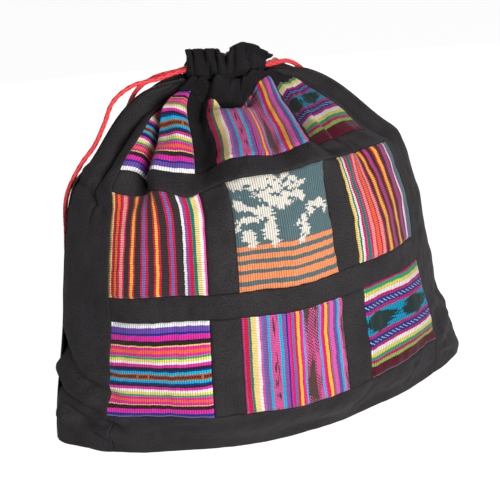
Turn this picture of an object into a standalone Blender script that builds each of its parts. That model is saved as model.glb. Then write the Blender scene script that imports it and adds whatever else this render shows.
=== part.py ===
# Patchwork drawstring backpack, stuffed, drawn shut and standing on its base.
# Metres, +Z up. The patchwork front faces -Y. The origin is on the floor, in the
# plane of the side seams and under the middle of the front panel.

import math

import bmesh
import bpy
import numpy as np
from mathutils import Matrix, Vector

# Flat sizes of the cut cloth
PATCH_SIZE = 0.105
STRIP_WIDTH = 0.030
BAND_HEIGHT = 0.026
HEM_HEIGHT = 0.057
TOP_HEIGHT = 0.026
BORDER_WIDTH = 0.073
CLOTH_THICKNESS = 0.0012
SEAM_GAP = 0.0004
NORMAL_REACH = 0.004

# The stuffed shape at the seams, from the bottom seam up to the top patches' upper edge
SEAM_HALF_WIDTHS = (0.227, 0.220, 0.200, 0.196, 0.171, 0.156, 0.088)
SEAM_FRONT_DEPTHS = (0.100, 0.132, 0.138, 0.139, 0.116, 0.094, -0.002)
SEAM_BACK_DEPTHS = (0.088, 0.116, 0.124, 0.124, 0.112, 0.104, 0.082)
SEAM_ROUNDNESS = (1.60, 1.57, 1.52, 1.50, 1.42, 1.40, 1.40)
NECK_ROUNDNESS = 2.0
BOTTOM_SEAM_HEIGHT = 0.006
SIDE_DROP = 0.017
SIDE_DROP_FADE = 0.150
RING_ANGLES = 97
EDGE_ANGLE = 50
RIGHT_CORNER_REACH = 0.009

# The turned-up edge of the base: distance in from the seam, and share of the seam's height
BASE_EDGE = ((0.0, 1.0), (0.0015, 0.45), (0.0050, 0.12), (0.0100, 0.0))

# The neck, where the cords run inside a folded casing
NECK_HALF_WIDTH = 0.038
NECK_HALF_DEPTH = 0.020
NECK_BACK = 0.035
NECK_RISE = 0.006
CHANNEL_HALF_WIDTH = 0.0056
CASING_HEIGHT = 0.027
CASING_FLARE = 0.006
CASING_FOLD = 0.0017
CASING_SLIT = 0.0075
RUFFLE_DEPTH = 0.0042
RUFFLES = 12
END_RUFFLE = 0.25
RUFFLE_NOTCHES = ((262, 0.24, 12), (75, 0.18, 14), (340, 0.10, 15))
CINCH_RIPPLE = 0.0006

# Gathers
SHOULDER_FOLD_WIDTH = 0.036
DEEPEST_FOLD = 0.018
NECK_FOLD = 0.001
TOP_SWELL = 0.004
POUCH_SWELL = 0.011
POUCH_LEVEL = 0.45
POUCH_SPREAD = 0.46
SIDE_EASE = 1.2
RIDGE_WIDTH = 0.020
RIDGE_REACH = 0.034
BACK_FOLDS = 6
FRONT_FOLD_TILT = 60
BACK_FOLD_TILT = 25
BACK_SAG = 0.009
BACK_SAG_PITCH = 0.105
SEAM_CALM = 0.025
LEAST_SPREAD = 0.30

# Cords, tabs and knots
CORD_DIAMETER = 0.0048
CORD_SPACING = 0.0056
RUN_POINT_SPACING = 0.023
LOOP_POINT_SPACING = 0.0058
CORD_CLEARANCE = 0.0006
CHANNEL_FLOOR = 0.0016
EXIT_REACH = 0.009
EXIT_ANGLE = 28
EXIT_DIP = 0.001
TAB_PLACE = 0.045
TAB_SHARE = 0.84
TAB_WALL = 0.0013
TAB_HEIGHT = 0.012
TAB_EYE_LENGTH = 0.013
TAB_EYE_DEPTH = 0.0080
KNOT_RADIUS = 0.0078
KNOT_FLATNESS = 0.9
KNOT_TAIL = 0.010
CORD_BELOW_TAB = 0.007

# Grid lines of the loft for each piece of cloth
PATCH_COLUMNS = 7
STRIP_COLUMNS = 2
BORDER_COLUMNS = 4
BACK_COLUMNS = 24
HEM_ROWS = 2
LOWER_ROWS = 3
MIDDLE_ROWS = 5
UPPER_ROWS = 6
TOP_ROWS = 3
CASING_COLUMNS = 28

PANEL_HALF = 1.5 * PATCH_SIZE + STRIP_WIDTH + BORDER_WIDTH
PATCH_HALF = PATCH_SIZE / 2
INNER_SEAM = PATCH_HALF + STRIP_WIDTH
OUTER_SEAM = INNER_SEAM + PATCH_SIZE
SEAM_UPS = tuple(
    np.cumsum([0, HEM_HEIGHT, PATCH_SIZE, BAND_HEIGHT, PATCH_SIZE, BAND_HEIGHT, PATCH_SIZE, TOP_HEIGHT])
)
CLOTH_UP = SEAM_UPS[-1]
FRONT, BACK = -1.0, 1.0

# Each front fold: its place across the cloth, how deep it is against a plain fold, and
# its share of the gathered cloth at the upper band's two edges, at the top patches'
# upper edge and at the neck
FRONT_FOLDS = (
    (-(OUTER_SEAM + BORDER_WIDTH / 2), 1.0, 0.10, 0.18, 0.08, 0.12),
    (-(INNER_SEAM + PATCH_HALF), 1.2, 0.22, 0.21, 0.32, 0.24),
    (-(PATCH_HALF + STRIP_WIDTH / 2), 1.0, 0.06, 0.08, 0.02, 0.06),
    (0.3 * PATCH_HALF, 1.0, 0.02, 0.05, 0.02, 0.10),
    (INNER_SEAM, 1.0, 0.10, 0.18, 0.12, 0.13),
    (INNER_SEAM + PATCH_HALF, 0.5, 0.36, 0.22, 0.34, 0.24),
    (OUTER_SEAM + BORDER_WIDTH / 2, 1.0, 0.14, 0.08, 0.10, 0.12),
)

POUCH_PLACE = -0.35 * PATCH_HALF
POUCH_HALF_WIDTH = 0.75 * PATCH_HALF

# Where the slack cloth under the neck stands up in a ridge or dips: place across, height
TOP_RIDGES = ((-INNER_SEAM, 0.014), (0.65 * PATCH_HALF, 0.009), (POUCH_PLACE, -0.011))

# Where the stuffing has settled: place across and up the cloth, reach each way, and drop
SETTLED = ((-0.095, 0.300, 0.045, 0.060, 0.010),)

COLOURS = {
    "black_cotton": ((0.022, 0.021, 0.022), 0.85),
    "stripe_weave": ((0.62, 0.12, 0.40), 0.80),
    "red_weave": ((0.55, 0.08, 0.12), 0.80),
    "rose_weave": ((0.60, 0.16, 0.36), 0.80),
    "turquoise_weave": ((0.10, 0.34, 0.42), 0.80),
    "ikat_weave": ((0.10, 0.16, 0.17), 0.80),
    "red_cord": ((0.80, 0.045, 0.055), 0.55),
}


def clear_scene():
    for obj in list(bpy.data.objects):
        bpy.data.objects.remove(obj)


def material(name):
    found = bpy.data.materials.get(name)
    if found:
        return found
    made = bpy.data.materials.new(name)
    made.use_nodes = True
    shader = made.node_tree.nodes["Principled BSDF"]
    colour, roughness = COLOURS[name]
    shader.inputs["Base Color"].default_value = (*colour, 1)
    shader.inputs["Roughness"].default_value = roughness
    shader.inputs["Metallic"].default_value = 0
    return made


def finish(obj, material_name):
    obj.data.materials.clear()
    obj.data.materials.append(material(material_name))
    for collection in list(obj.users_collection):
        collection.objects.unlink(obj)
    bpy.data.collections["backpack"].objects.link(obj)
    return obj


def smooth_through(at, places, values):
    """A cubic curve through the values that doesn't overshoot where they turn back."""
    places, values = np.asarray(places, float), np.asarray(values, float)
    steps = np.diff(places)
    slopes = np.diff(values) / steps
    total = slopes[:-1] + slopes[1:]
    same_way = slopes[:-1] * slopes[1:] > 0
    inner = np.where(same_way, 2 * slopes[:-1] * slopes[1:] / np.where(same_way, total, 1), 0)
    tangents = np.concatenate([slopes[:1], inner, slopes[-1:]])
    at = np.asarray(at, float)
    i = np.clip(np.searchsorted(places, at, side="right") - 1, 0, len(steps) - 1)
    t = (at - places[i]) / steps[i]
    rise = values[i] * (1 + 2 * t) * (1 - t) ** 2 + values[i + 1] * t**2 * (3 - 2 * t)
    return rise + steps[i] * t * (1 - t) * (tangents[i] * (1 - t) - tangents[i + 1] * t)


def smooth_step(value):
    value = np.clip(value, 0, 1)
    return value * value * (3 - 2 * value)


# Neck ring and front profile: the rise between two seams follows from the cloth's
# length between them and from how far it leans. The top band is slack, so its rise is set.
NECK_WALL_HALF_WIDTH = NECK_HALF_WIDTH + CHANNEL_HALF_WIDTH
NECK_WALL_HALF_DEPTH = NECK_HALF_DEPTH + CHANNEL_HALF_WIDTH
HALF_WIDTHS = (*SEAM_HALF_WIDTHS, NECK_WALL_HALF_WIDTH)
FRONT_DEPTHS = (*SEAM_FRONT_DEPTHS, NECK_WALL_HALF_DEPTH - NECK_BACK)
BACK_DEPTHS = (*SEAM_BACK_DEPTHS, NECK_WALL_HALF_DEPTH + NECK_BACK)
LEANS = np.diff(SEAM_FRONT_DEPTHS)
RISES = [*np.sqrt(np.maximum(np.diff(SEAM_UPS[:-1]) ** 2 - LEANS**2, 0)), NECK_RISE]
HEIGHTS = BOTTOM_SEAM_HEIGHT + np.concatenate([[0], np.cumsum(RISES)])
NECK_HEIGHT = HEIGHTS[-1]
SHOULDER_UP = SEAM_UPS[5]
FOLD_START_UP = (SEAM_UPS[3] + SEAM_UPS[4]) / 2
SIDE_RETREAT_START = SEAM_UPS[4]


def ring_sizes(up):
    """Half width, front depth, back depth, height and side-seam place at a cloth height."""
    half_width = smooth_through(up, SEAM_UPS, HALF_WIDTHS)
    front = smooth_through(up, SEAM_UPS, FRONT_DEPTHS)
    back = smooth_through(up, SEAM_UPS, BACK_DEPTHS)
    height = smooth_through(up, SEAM_UPS, HEIGHTS)
    retreat = NECK_BACK * smooth_step((up - SIDE_RETREAT_START) / (CLOTH_UP - SIDE_RETREAT_START))
    return half_width, front, back, height, retreat


def half_ring(side, up):
    """Points along the front or back half of the ring at one cloth height, left to right."""
    half_width, front, back, height, retreat = ring_sizes(up)
    depth = front + retreat if side == FRONT else back - retreat
    power = 2 / smooth_through(up, SEAM_UPS, (*SEAM_ROUNDNESS, NECK_ROUNDNESS))
    angle = np.linspace(-math.pi / 2, math.pi / 2, RING_ANGLES)
    out = np.sign(angle) * np.abs(np.sin(angle)) ** power
    corner = RIGHT_CORNER_REACH * smooth_step(1 - up / (2 * HEM_HEIGHT))
    x = half_width * out + corner * out.clip(0, 1) ** 3
    y = retreat + side * depth * np.cos(angle).clip(0, 1) ** power
    drop = SIDE_DROP * smooth_step(up / SEAM_UPS[2]) * smooth_step((CLOTH_UP - up) / SIDE_DROP_FADE)
    z = height - drop * out**2
    return np.stack([x, y, z], -1)


def lengths_along(points):
    return np.concatenate([[0], np.cumsum(np.linalg.norm(np.diff(points, axis=0), axis=1))])


def envelope(side, share, up):
    """A point of the stuffed outline: share is -1 at the left side seam and 1 at the right."""
    ring = half_ring(side, up)
    along = lengths_along(ring)
    place = (np.clip(share, -1, 1) + 1) / 2 * along[-1]
    return np.stack([np.interp(place, along, ring[:, axis]) for axis in range(3)], -1)


def fold_direction(side, point, up):
    """Outward from the bag's middle line, and tilted up more and more over the shoulder."""
    half_width, front, back, _, retreat = ring_sizes(up)
    depth = front + retreat if side == FRONT else back - retreat
    flat = np.stack([point[:, 0] * depth / half_width, (point[:, 1] - retreat) * half_width / depth], -1)
    flat /= np.linalg.norm(flat, axis=1, keepdims=True)
    most = FRONT_FOLD_TILT if side == FRONT else BACK_FOLD_TILT
    tilt = math.radians(most) * smooth_step((up - SEAM_UPS[3]) / (SEAM_UPS[6] - SEAM_UPS[3]))
    return np.stack([*(flat.T * np.cos(tilt)), np.full(len(point), np.sin(tilt))], -1)


def folds_at(side, up):
    """Place, gathered length, half width and depth of each fold at one cloth height."""
    spare = 2 * PANEL_HALF - lengths_along(half_ring(side, up))[-1]
    start = smooth_step((up - FOLD_START_UP) / (SHOULDER_UP - FOLD_START_UP))
    gathered = max(0.0, spare) * start
    if side == FRONT:
        stages = (SEAM_UPS[4], SHOULDER_UP, SEAM_UPS[6], CLOTH_UP)
        found = [(place, plain, np.interp(up, stages, shares)) for place, plain, *shares in FRONT_FOLDS]
    else:
        pitch = 2 * PANEL_HALF / BACK_FOLDS
        found = [(-PANEL_HALF + (k + 0.5) * pitch, 1.0, 1 / BACK_FOLDS) for k in range(BACK_FOLDS)]
    flatter_from = SEAM_UPS[6] if side == FRONT else SHOULDER_UP + PATCH_HALF
    neck = smooth_step((up - flatter_from) / (CLOTH_UP - flatter_from))
    limit = DEEPEST_FOLD + (NECK_FOLD - DEEPEST_FOLD) * neck
    folds = []
    for place, plain, share in found:
        hidden = gathered * share
        half = max(SHOULDER_FOLD_WIDTH, hidden)
        deep = math.sqrt(8 * half * hidden) / math.pi * start
        near_side = 1 - (place / PANEL_HALF) ** 4
        folds.append((place, hidden, half, min(deep, limit) * plain * near_side))
    return folds


def fold_shape(across, place, half):
    """How far into a fold each place across the cloth is. It fades out at the side seams."""
    edge = smooth_step((PANEL_HALF - np.abs(across)) / SEAM_CALM)
    return edge * np.cos(np.clip((across - place) / half, -1, 1) * math.pi / 2) ** 2


def outline_points(side, across, up):
    """The cloth's outer face at one cloth height, for an array of places across it."""
    fine = np.linspace(-PANEL_HALF, PANEL_HALF, 401)
    folds = folds_at(side, up)
    taken = sum(hidden / half * fold_shape(fine, place, half) for place, hidden, half, _ in folds)
    travel = lengths_along(np.cumsum(np.maximum(1 - taken, LEAST_SPREAD))[:, None])
    share = np.interp(across, fine, travel / travel[-1] * 2 - 1)
    point = envelope(side, share, up)
    push = -sum(deep * fold_shape(across, place, half) for place, _, half, deep in folds)
    if side == FRONT:
        pouch_across = (across - POUCH_PLACE) / POUCH_HALF_WIDTH
        pouch_up = (up - SEAM_UPS[6]) / TOP_HEIGHT
        pouch = np.exp(-(pouch_across**2) - ((pouch_up - POUCH_LEVEL) / POUCH_SPREAD) ** 2)
        pouch = pouch * smooth_step(2 - 2 * pouch_up)
        slack = np.sin(math.pi * np.clip(pouch_up, 0, 1)) ** 2
        slack = slack * smooth_step(SIDE_EASE * (1 - np.abs(across) / PANEL_HALF))
        push = push + POUCH_SWELL * pouch + TOP_SWELL * slack
        level = np.exp(-(((up - SEAM_UPS[6]) / RIDGE_REACH) ** 2)) * smooth_step(2 - 2 * pouch_up)
        for place, ridge_height in TOP_RIDGES:
            push = push + ridge_height * level * np.exp(-(((across - place) / RIDGE_WIDTH) ** 2))
    else:
        waves = np.sin(math.pi * (up - FOLD_START_UP) / BACK_SAG_PITCH) ** 2
        inside = float(abs(up - FOLD_START_UP) < BACK_SAG_PITCH)
        push = push - BACK_SAG * waves * inside * smooth_step(SIDE_EASE * (1 - np.abs(across) / PANEL_HALF))
    found = point + fold_direction(side, point, up) * push[:, None]
    if side == FRONT:
        for place, level, wide, high, drop in SETTLED:
            nearness = np.exp(-(((across - place) / wide) ** 2) - ((up - level) / high) ** 2)
            found[:, 2] -= drop * nearness
    return found


def cloth_grid(side, acrosses, ups):
    """Outer face and outward direction over a grid of the cloth, row by row from the bottom."""
    step = NORMAL_REACH
    outer = np.array([outline_points(side, acrosses, up) for up in ups])
    left = np.array([outline_points(side, acrosses - step, up) for up in ups])
    right = np.array([outline_points(side, acrosses + step, up) for up in ups])
    below = np.array([outline_points(side, acrosses, up - step) for up in ups])
    above = np.array([outline_points(side, acrosses, up + step) for up in ups])
    outward = np.cross(right - left, above - below) * -side
    at_side_seam = np.abs(acrosses) > PANEL_HALF - 2 * SEAM_GAP
    outward[:, at_side_seam, 1] = 0
    outward /= np.linalg.norm(outward, axis=2, keepdims=True)
    if side == FRONT:
        # Tight gathers are given their thickness along the direction they were folded in
        folded = np.array([fold_direction(side, row, up) for row, up in zip(outer, ups)])
        share = smooth_step((np.array(ups) - SHOULDER_UP) / (SEAM_UPS[6] - SHOULDER_UP))[:, None, None]
        share = share * smooth_step((PANEL_HALF - np.abs(acrosses)) / SEAM_CALM)[None, :, None]
        outward = outward * (1 - share) + folded * share
        outward /= np.linalg.norm(outward, axis=2, keepdims=True)
    return outer, outward


def sheet_solid(name, outer, inner, material_name, flip=False):
    """A closed solid between two grids of points, with its edges walled in."""
    rows, columns = outer.shape[:2]
    points = np.concatenate([outer.reshape(-1, 3), inner.reshape(-1, 3)])
    back = rows * columns
    faces = []
    for r in range(rows - 1):
        for c in range(columns - 1):
            a, b = r * columns + c, r * columns + c + 1
            d, e = a + columns, b + columns
            faces += [(a, b, e), (a, e, d)]
            faces += [(back + a, back + e, back + b), (back + a, back + d, back + e)]
    last_row = (rows - 1) * columns
    for c in range(columns - 1):
        a, b = c, c + 1
        faces += [(a, back + a, back + b), (a, back + b, b)]
        a, b = last_row + c, last_row + c + 1
        faces += [(a, back + b, back + a), (a, b, back + b)]
    for r in range(rows - 1):
        a, b = r * columns, (r + 1) * columns
        faces += [(a, back + b, back + a), (a, b, back + b)]
        a, b = a + columns - 1, b + columns - 1
        faces += [(a, back + a, back + b), (a, back + b, b)]
    if flip:
        faces = [face[::-1] for face in faces]
    mesh = bpy.data.meshes.new(name)
    mesh.from_pydata([tuple(p) for p in points], [], faces)
    mesh.shade_smooth()
    mesh.set_sharp_from_angle(angle=math.radians(EDGE_ANGLE))
    obj = bpy.data.objects.new(name, mesh)
    bpy.context.scene.collection.objects.link(obj)
    return finish(obj, material_name)


def inset(lines):
    """Grid lines with the first and last drawn in by half the seam gap."""
    lines = np.array(lines, float)
    lines[0] += SEAM_GAP / 2
    lines[-1] -= SEAM_GAP / 2
    return lines


def cloth_piece(name, side, across_lines, up_lines, material_name):
    outer, outward = cloth_grid(side, inset(across_lines), inset(up_lines))
    inner = outer - outward * CLOTH_THICKNESS
    return sheet_solid(name, outer, inner, material_name, flip=side == BACK)


def spread(low, high, count):
    return list(np.linspace(low, high, count + 1))


def across_lines(low, high):
    """The shared grid lines across the front between two of its upright seams."""
    seams = [-PANEL_HALF, -OUTER_SEAM, -INNER_SEAM, -PATCH_HALF]
    seams += [-edge for edge in reversed(seams)]
    counts = [BORDER_COLUMNS, PATCH_COLUMNS, STRIP_COLUMNS]
    counts += [PATCH_COLUMNS, *reversed(counts)]
    lines = [seams[0]]
    for start, end, count in zip(seams, seams[1:], counts):
        lines += spread(start, end, count)[1:]
    return [line for line in lines if low - 1e-6 <= line <= high + 1e-6]


def up_lines(low, high):
    counts = [HEM_ROWS, LOWER_ROWS, 1, MIDDLE_ROWS, 2, UPPER_ROWS, TOP_ROWS]
    lines = [SEAM_UPS[0]]
    for start, end, count in zip(SEAM_UPS, SEAM_UPS[1:], counts):
        lines += spread(start, end, count)[1:]
    return [line for line in lines if low - 1e-6 <= line <= high + 1e-6]


def make_patchwork():
    """Nine woven patches, the black strips between them, and the black bands between rows."""
    columns = (
        ("left", -OUTER_SEAM, -INNER_SEAM),
        ("centre", -PATCH_HALF, PATCH_HALF),
        ("right", INNER_SEAM, OUTER_SEAM),
    )
    rows = (
        ("lower", SEAM_UPS[1], SEAM_UPS[2]),
        ("middle", SEAM_UPS[3], SEAM_UPS[4]),
        ("upper", SEAM_UPS[5], SEAM_UPS[6]),
    )
    strips = (("left", -INNER_SEAM, -PATCH_HALF), ("right", PATCH_HALF, INNER_SEAM))
    cloths = {
        "left": ("stripe_weave", "red_weave", "stripe_weave"),
        "centre": ("rose_weave", "ikat_weave", "rose_weave"),
        "right": ("turquoise_weave", "red_weave", "turquoise_weave"),
    }
    for row_index, (row, low, high) in enumerate(rows):
        for column, left, right in columns:
            across, up = across_lines(left, right), up_lines(low, high)
            cloth_piece(f"patch_{row}_{column}", FRONT, across, up, cloths[column][row_index])
        for column, left, right in strips:
            across, up = across_lines(left, right), up_lines(low, high)
            cloth_piece(f"strip_{row}_{column}", FRONT, across, up, "black_cotton")
    across = across_lines(-OUTER_SEAM, OUTER_SEAM)
    for name, seam in (("hem_band", 0), ("band_lower", 2), ("band_upper", 4), ("top_band", 6)):
        cloth_piece(name, FRONT, across, up_lines(SEAM_UPS[seam], SEAM_UPS[seam + 1]), "black_cotton")


def make_borders_and_back():
    every_up = up_lines(0, CLOTH_UP)
    cloth_piece("border_left", FRONT, across_lines(-PANEL_HALF, -OUTER_SEAM), every_up, "black_cotton")
    cloth_piece("border_right", FRONT, across_lines(OUTER_SEAM, PANEL_HALF), every_up, "black_cotton")
    cloth_piece("back_panel", BACK, spread(-PANEL_HALF, PANEL_HALF, BACK_COLUMNS), every_up, "black_cotton")


def make_base():
    """A shallow dish of cloth: flat on the floor, with its edge turned up to the bottom seam."""
    front = outline_points(FRONT, np.array(across_lines(-PANEL_HALF, PANEL_HALF)), 0)
    back = outline_points(BACK, np.array(spread(-PANEL_HALF, PANEL_HALF, BACK_COLUMNS)), 0)
    ring = np.concatenate([front[:-1], back[:0:-1]])[:, :2]
    centre = ring.mean(0)
    rim = BOTTOM_SEAM_HEIGHT - SEAM_GAP
    levels = [(gap, share * rim) for gap, share in BASE_EDGE]
    inner = [(gap + CLOTH_THICKNESS * 0.3, height + CLOTH_THICKNESS) for gap, height in levels[1:]]
    loops = [*levels, *reversed(inner), (CLOTH_THICKNESS, rim)]
    reach = np.linalg.norm(ring - centre, axis=1, keepdims=True)
    points = []
    for gap, height in loops:
        flat = centre + (ring - centre) * (1 - gap / reach)
        points += [(x, y, height) for x, y in flat]
    count, levels_made = len(ring), len(loops)
    faces = []
    for level in range(levels_made):
        if level == len(levels) - 1:
            continue
        upper = (level + 1) % levels_made
        for i in range(count):
            j = (i + 1) % count
            a, b = level * count + i, level * count + j
            d, e = upper * count + i, upper * count + j
            faces += [(a, d, e), (a, e, b)]
    bottom = (len(levels) - 1) * count
    faces += [tuple(reversed(range(bottom, bottom + count)))]
    faces += [tuple(range(bottom + count, bottom + 2 * count))]
    mesh = bpy.data.meshes.new("base_panel")
    mesh.from_pydata(points, [], faces)
    mesh.shade_smooth()
    mesh.set_sharp_from_angle(angle=math.radians(EDGE_ANGLE))
    obj = bpy.data.objects.new("base_panel", mesh)
    bpy.context.scene.collection.objects.link(obj)
    return finish(obj, "black_cotton")


def casing_section():
    """The folded casing's section: distance out from the cord line, and height above the seam."""
    channel = CHANNEL_HALF_WIDTH - CLOTH_THICKNESS / 2
    outer = [
        (channel, SEAM_GAP),
        (channel, 0.40 * CASING_HEIGHT),
        (CASING_FOLD, 0.62 * CASING_HEIGHT),
        (CASING_FOLD, 0.92 * CASING_HEIGHT),
    ]
    inner = [(-out, height) for out, height in reversed(outer)]
    return [*outer, (0.0, CASING_HEIGHT), *inner]


def notched(angles):
    """How far each place round the ruffle dips and draws in, where one lobe ends."""
    dip = np.zeros_like(angles)
    for place, depth, width in RUFFLE_NOTCHES:
        away = (angles - math.radians(place) + math.pi) % (2 * math.pi) - math.pi
        dip += depth * np.exp(-((away / math.radians(width)) ** 2))
    return dip


def casing_line(angles, share):
    """The ruffled line midway between the casing's two walls, at a share of its height."""
    flare = CASING_FLARE * share**2 * (1 - 1.5 * notched(angles))
    ripple = CINCH_RIPPLE + (RUFFLE_DEPTH - CINCH_RIPPLE) * smooth_step((share - 0.3) / 0.5)
    wave = ripple * np.cos(RUFFLES * angles) * (END_RUFFLE + (1 - END_RUFFLE) * np.sin(angles) ** 2)
    x = (NECK_HALF_WIDTH + flare + wave) * np.cos(angles)
    y = NECK_BACK + (NECK_HALF_DEPTH + flare + wave) * np.sin(angles)
    return np.stack([x, y], -1)


def casing_grid(angles, thickness_share):
    """The casing's folded cloth, moved out from its middle by a share of its thickness."""
    section = np.array(casing_section())
    turn = np.gradient(section, axis=0)
    across = np.stack([turn[:, 1], -turn[:, 0]], -1)
    across /= np.linalg.norm(across, axis=1, keepdims=True)
    section = section + across * CLOTH_THICKNESS * thickness_share
    rows = []
    step = 1e-3
    for out, height in section:
        share = height / CASING_HEIGHT
        line = casing_line(angles, share)
        along = casing_line(angles + step, share) - casing_line(angles - step, share)
        outward = np.stack([along[:, 1], -along[:, 0]], -1)
        outward /= np.linalg.norm(outward, axis=1, keepdims=True)
        flat = line + outward * out
        lowered = height * (1 - notched(angles) * smooth_step((share - 0.4) / 0.6))
        rows.append(np.concatenate([flat, NECK_HEIGHT + lowered[:, None]], axis=1))
    return np.array(rows)


def make_casings():
    slit = math.asin(CASING_SLIT / NECK_HALF_DEPTH)
    for name, start in (("casing_front", math.pi), ("casing_back", 0.0)):
        angles = np.linspace(start + slit, start + math.pi - slit, CASING_COLUMNS + 1)
        sheet_solid(name, casing_grid(angles, 0.5), casing_grid(angles, -0.5), "black_cotton")


def smooth_path(points, spacing):
    """Points at about the given spacing on a Catmull-Rom curve through the route's points."""
    points = np.array(points, float)
    ends = np.concatenate([[2 * points[0] - points[1]], points, [2 * points[-1] - points[-2]]])
    fine = []
    for a, b, c, d in zip(ends, ends[1:], ends[2:], ends[3:]):
        for t in np.linspace(0, 1, 24, endpoint=False):
            bend = (2 * a - 5 * b + 4 * c - d) * t**2 + (3 * b - a - 3 * c + d) * t**3
            fine.append(0.5 * (2 * b + (c - a) * t + bend))
    fine = np.array([*fine, points[-1]])
    along = lengths_along(fine)
    count = max(2, round(along[-1] / spacing))
    places = np.linspace(0, along[-1], count + 1)
    return np.stack([np.interp(places, along, fine[:, axis]) for axis in range(3)], -1)


# Each cord's two runs down the back, from the neck to the tab: share of the way across
# the back from the middle seam, share of the way up the cloth, and lift off it
LEFT_NEAR_RUN = (
    (0.990, 0.970, 0.004),
    (0.985, 0.930, 0.008),
    (0.975, 0.880, 0.009),
    (0.950, 0.820, 0.004),
    (0.940, 0.760, 0.002),
    (0.960, 0.700, 0.002),
    (0.955, 0.620, 0.001),
    (0.915, 0.510, 0.001),
    (0.885, 0.400, 0.001),
    (0.870, 0.300, 0.001),
    (0.860, 0.210, 0.001),
)
LEFT_FAR_RUN = (
    (0.880, 0.960, 0.005),
    (0.800, 0.905, 0.004),
    (0.745, 0.840, 0.002),
    (0.710, 0.770, 0.001),
    (0.680, 0.690, 0.001),
    (0.665, 0.600, 0.001),
    (0.670, 0.500, 0.001),
    (0.700, 0.400, 0.001),
    (0.745, 0.300, 0.001),
    (0.795, 0.210, 0.001),
)
RIGHT_NEAR_RUN = (
    (0.880, 0.965, 0.002),
    (0.785, 0.912, 0.001),
    (0.715, 0.848, 0.001),
    (0.690, 0.780, 0.001),
    (0.700, 0.700, 0.001),
    (0.735, 0.610, 0.001),
    (0.780, 0.500, 0.001),
    (0.820, 0.400, 0.001),
    (0.850, 0.300, 0.001),
    (0.860, 0.210, 0.001),
)
RIGHT_FAR_RUN = (
    (0.720, 0.965, 0.003),
    (0.610, 0.912, 0.002),
    (0.540, 0.845, 0.001),
    (0.510, 0.770, 0.001),
    (0.520, 0.690, 0.001),
    (0.560, 0.600, 0.001),
    (0.630, 0.500, 0.001),
    (0.700, 0.400, 0.001),
    (0.750, 0.300, 0.001),
    (0.795, 0.210, 0.001),
)


def back_frame(share, up):
    """A point of the back's outline with its outward and sideways directions."""
    step = 1e-3
    point = envelope(BACK, share, up)
    along = envelope(BACK, share + step, up) - envelope(BACK, share - step, up)
    climb = envelope(BACK, share, up + step) - envelope(BACK, share, up - step)
    outward = np.cross(climb, along)
    return point, outward / np.linalg.norm(outward), along / np.linalg.norm(along)


def tab_frame(hand):
    """Where a tab is sewn on, with the directions out of the bag, along the cloth and up it."""
    point, outward, along = back_frame(hand * TAB_SHARE, TAB_PLACE)
    return point, outward, along, np.cross(along, outward)


def tab_centre(hand):
    point, outward, _, _ = tab_frame(hand)
    return point + outward * (SEAM_GAP + TAB_WALL + TAB_EYE_DEPTH / 2)


def knot_centre(hand):
    point, outward, _, climb = tab_frame(hand)
    drop = TAB_HEIGHT / 2 + CORD_BELOW_TAB + KNOT_FLATNESS * KNOT_RADIUS
    return point + outward * (KNOT_RADIUS + 2 * SEAM_GAP) - climb * drop


def cord_run(hand, run):
    lift = CORD_DIAMETER / 2 + CORD_CLEARANCE
    points = []
    for share, up_share, extra in run:
        point, outward, _ = back_frame(hand * share, up_share * CLOTH_UP)
        points.append(point + outward * (lift + extra))
    return points


def neck_loop(hand, height):
    """The cord's loop inside the casing, from one side of its exit round to the other."""
    gap = CORD_SPACING / 2
    reach = NECK_HALF_WIDTH + EXIT_REACH
    leave = math.radians(EXIT_ANGLE)
    angles = np.linspace(math.pi + leave, 3 * math.pi - leave, 19)
    points = [(-reach, NECK_BACK - gap, NECK_HEIGHT + height - EXIT_DIP)]
    for angle in angles:
        x, y = NECK_HALF_WIDTH * math.cos(angle), NECK_BACK + NECK_HALF_DEPTH * math.sin(angle)
        points.append((x, y, NECK_HEIGHT + height))
    points.append((-reach, NECK_BACK + gap, NECK_HEIGHT + height - EXIT_DIP))
    return [np.array((-hand * x, y, z)) for x, y, z in points]


def make_cord(name, hand, height, near_run, far_run):
    """One cord: up from its knot, in through the slit, round the neck, and down again."""
    loop = neck_loop(hand, height)
    _, _, along, climb = tab_frame(hand)
    eye, knot = tab_centre(hand), knot_centre(hand)
    end = knot + climb * (KNOT_FLATNESS * KNOT_RADIUS + 3 * SEAM_GAP)
    side = along * hand * CORD_SPACING / 2
    above_tab = eye + climb * TAB_HEIGHT * 0.7
    stages = np.array([eye - climb * TAB_HEIGHT * 0.4, end])
    near = smooth_path([loop[0], *cord_run(hand, near_run), above_tab + side], RUN_POINT_SPACING)
    far = smooth_path([loop[-1], *cord_run(hand, far_run), above_tab - side], RUN_POINT_SPACING)
    loop_path = smooth_path(loop, LOOP_POINT_SPACING)
    points = np.concatenate([(stages + side)[::-1], near[:0:-1], loop_path, far[1:], stages - side])
    data = bpy.data.curves.new(name, "CURVE")
    data.dimensions = "3D"
    spline = data.splines.new("POLY")
    spline.points.add(len(points) - 1)
    for target, point in zip(spline.points, points):
        target.co = (*point, 1)
    data.bevel_depth = CORD_DIAMETER / 2
    data.bevel_resolution = 2
    data.use_fill_caps = True
    obj = bpy.data.objects.new(name, data)
    bpy.context.scene.collection.objects.link(obj)
    return finish(obj, "red_cord")


def stadium(spline, length, depth, turns):
    """A closed outline with straight sides and round ends, drawn into a poly spline."""
    radius = depth / 2
    straight = max(0.0, (length - depth) / 2)
    points = []
    for end, start in ((1, -math.pi / 2), (-1, math.pi / 2)):
        for k in range(turns + 1):
            angle = start + math.pi * k / turns
            points.append((end * straight + radius * math.cos(angle), radius * math.sin(angle)))
    spline.points.add(len(points) - 1)
    for target, (x, y) in zip(spline.points, points):
        target.co = (x, y, 0, 1)
    spline.use_cyclic_u = True


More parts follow.
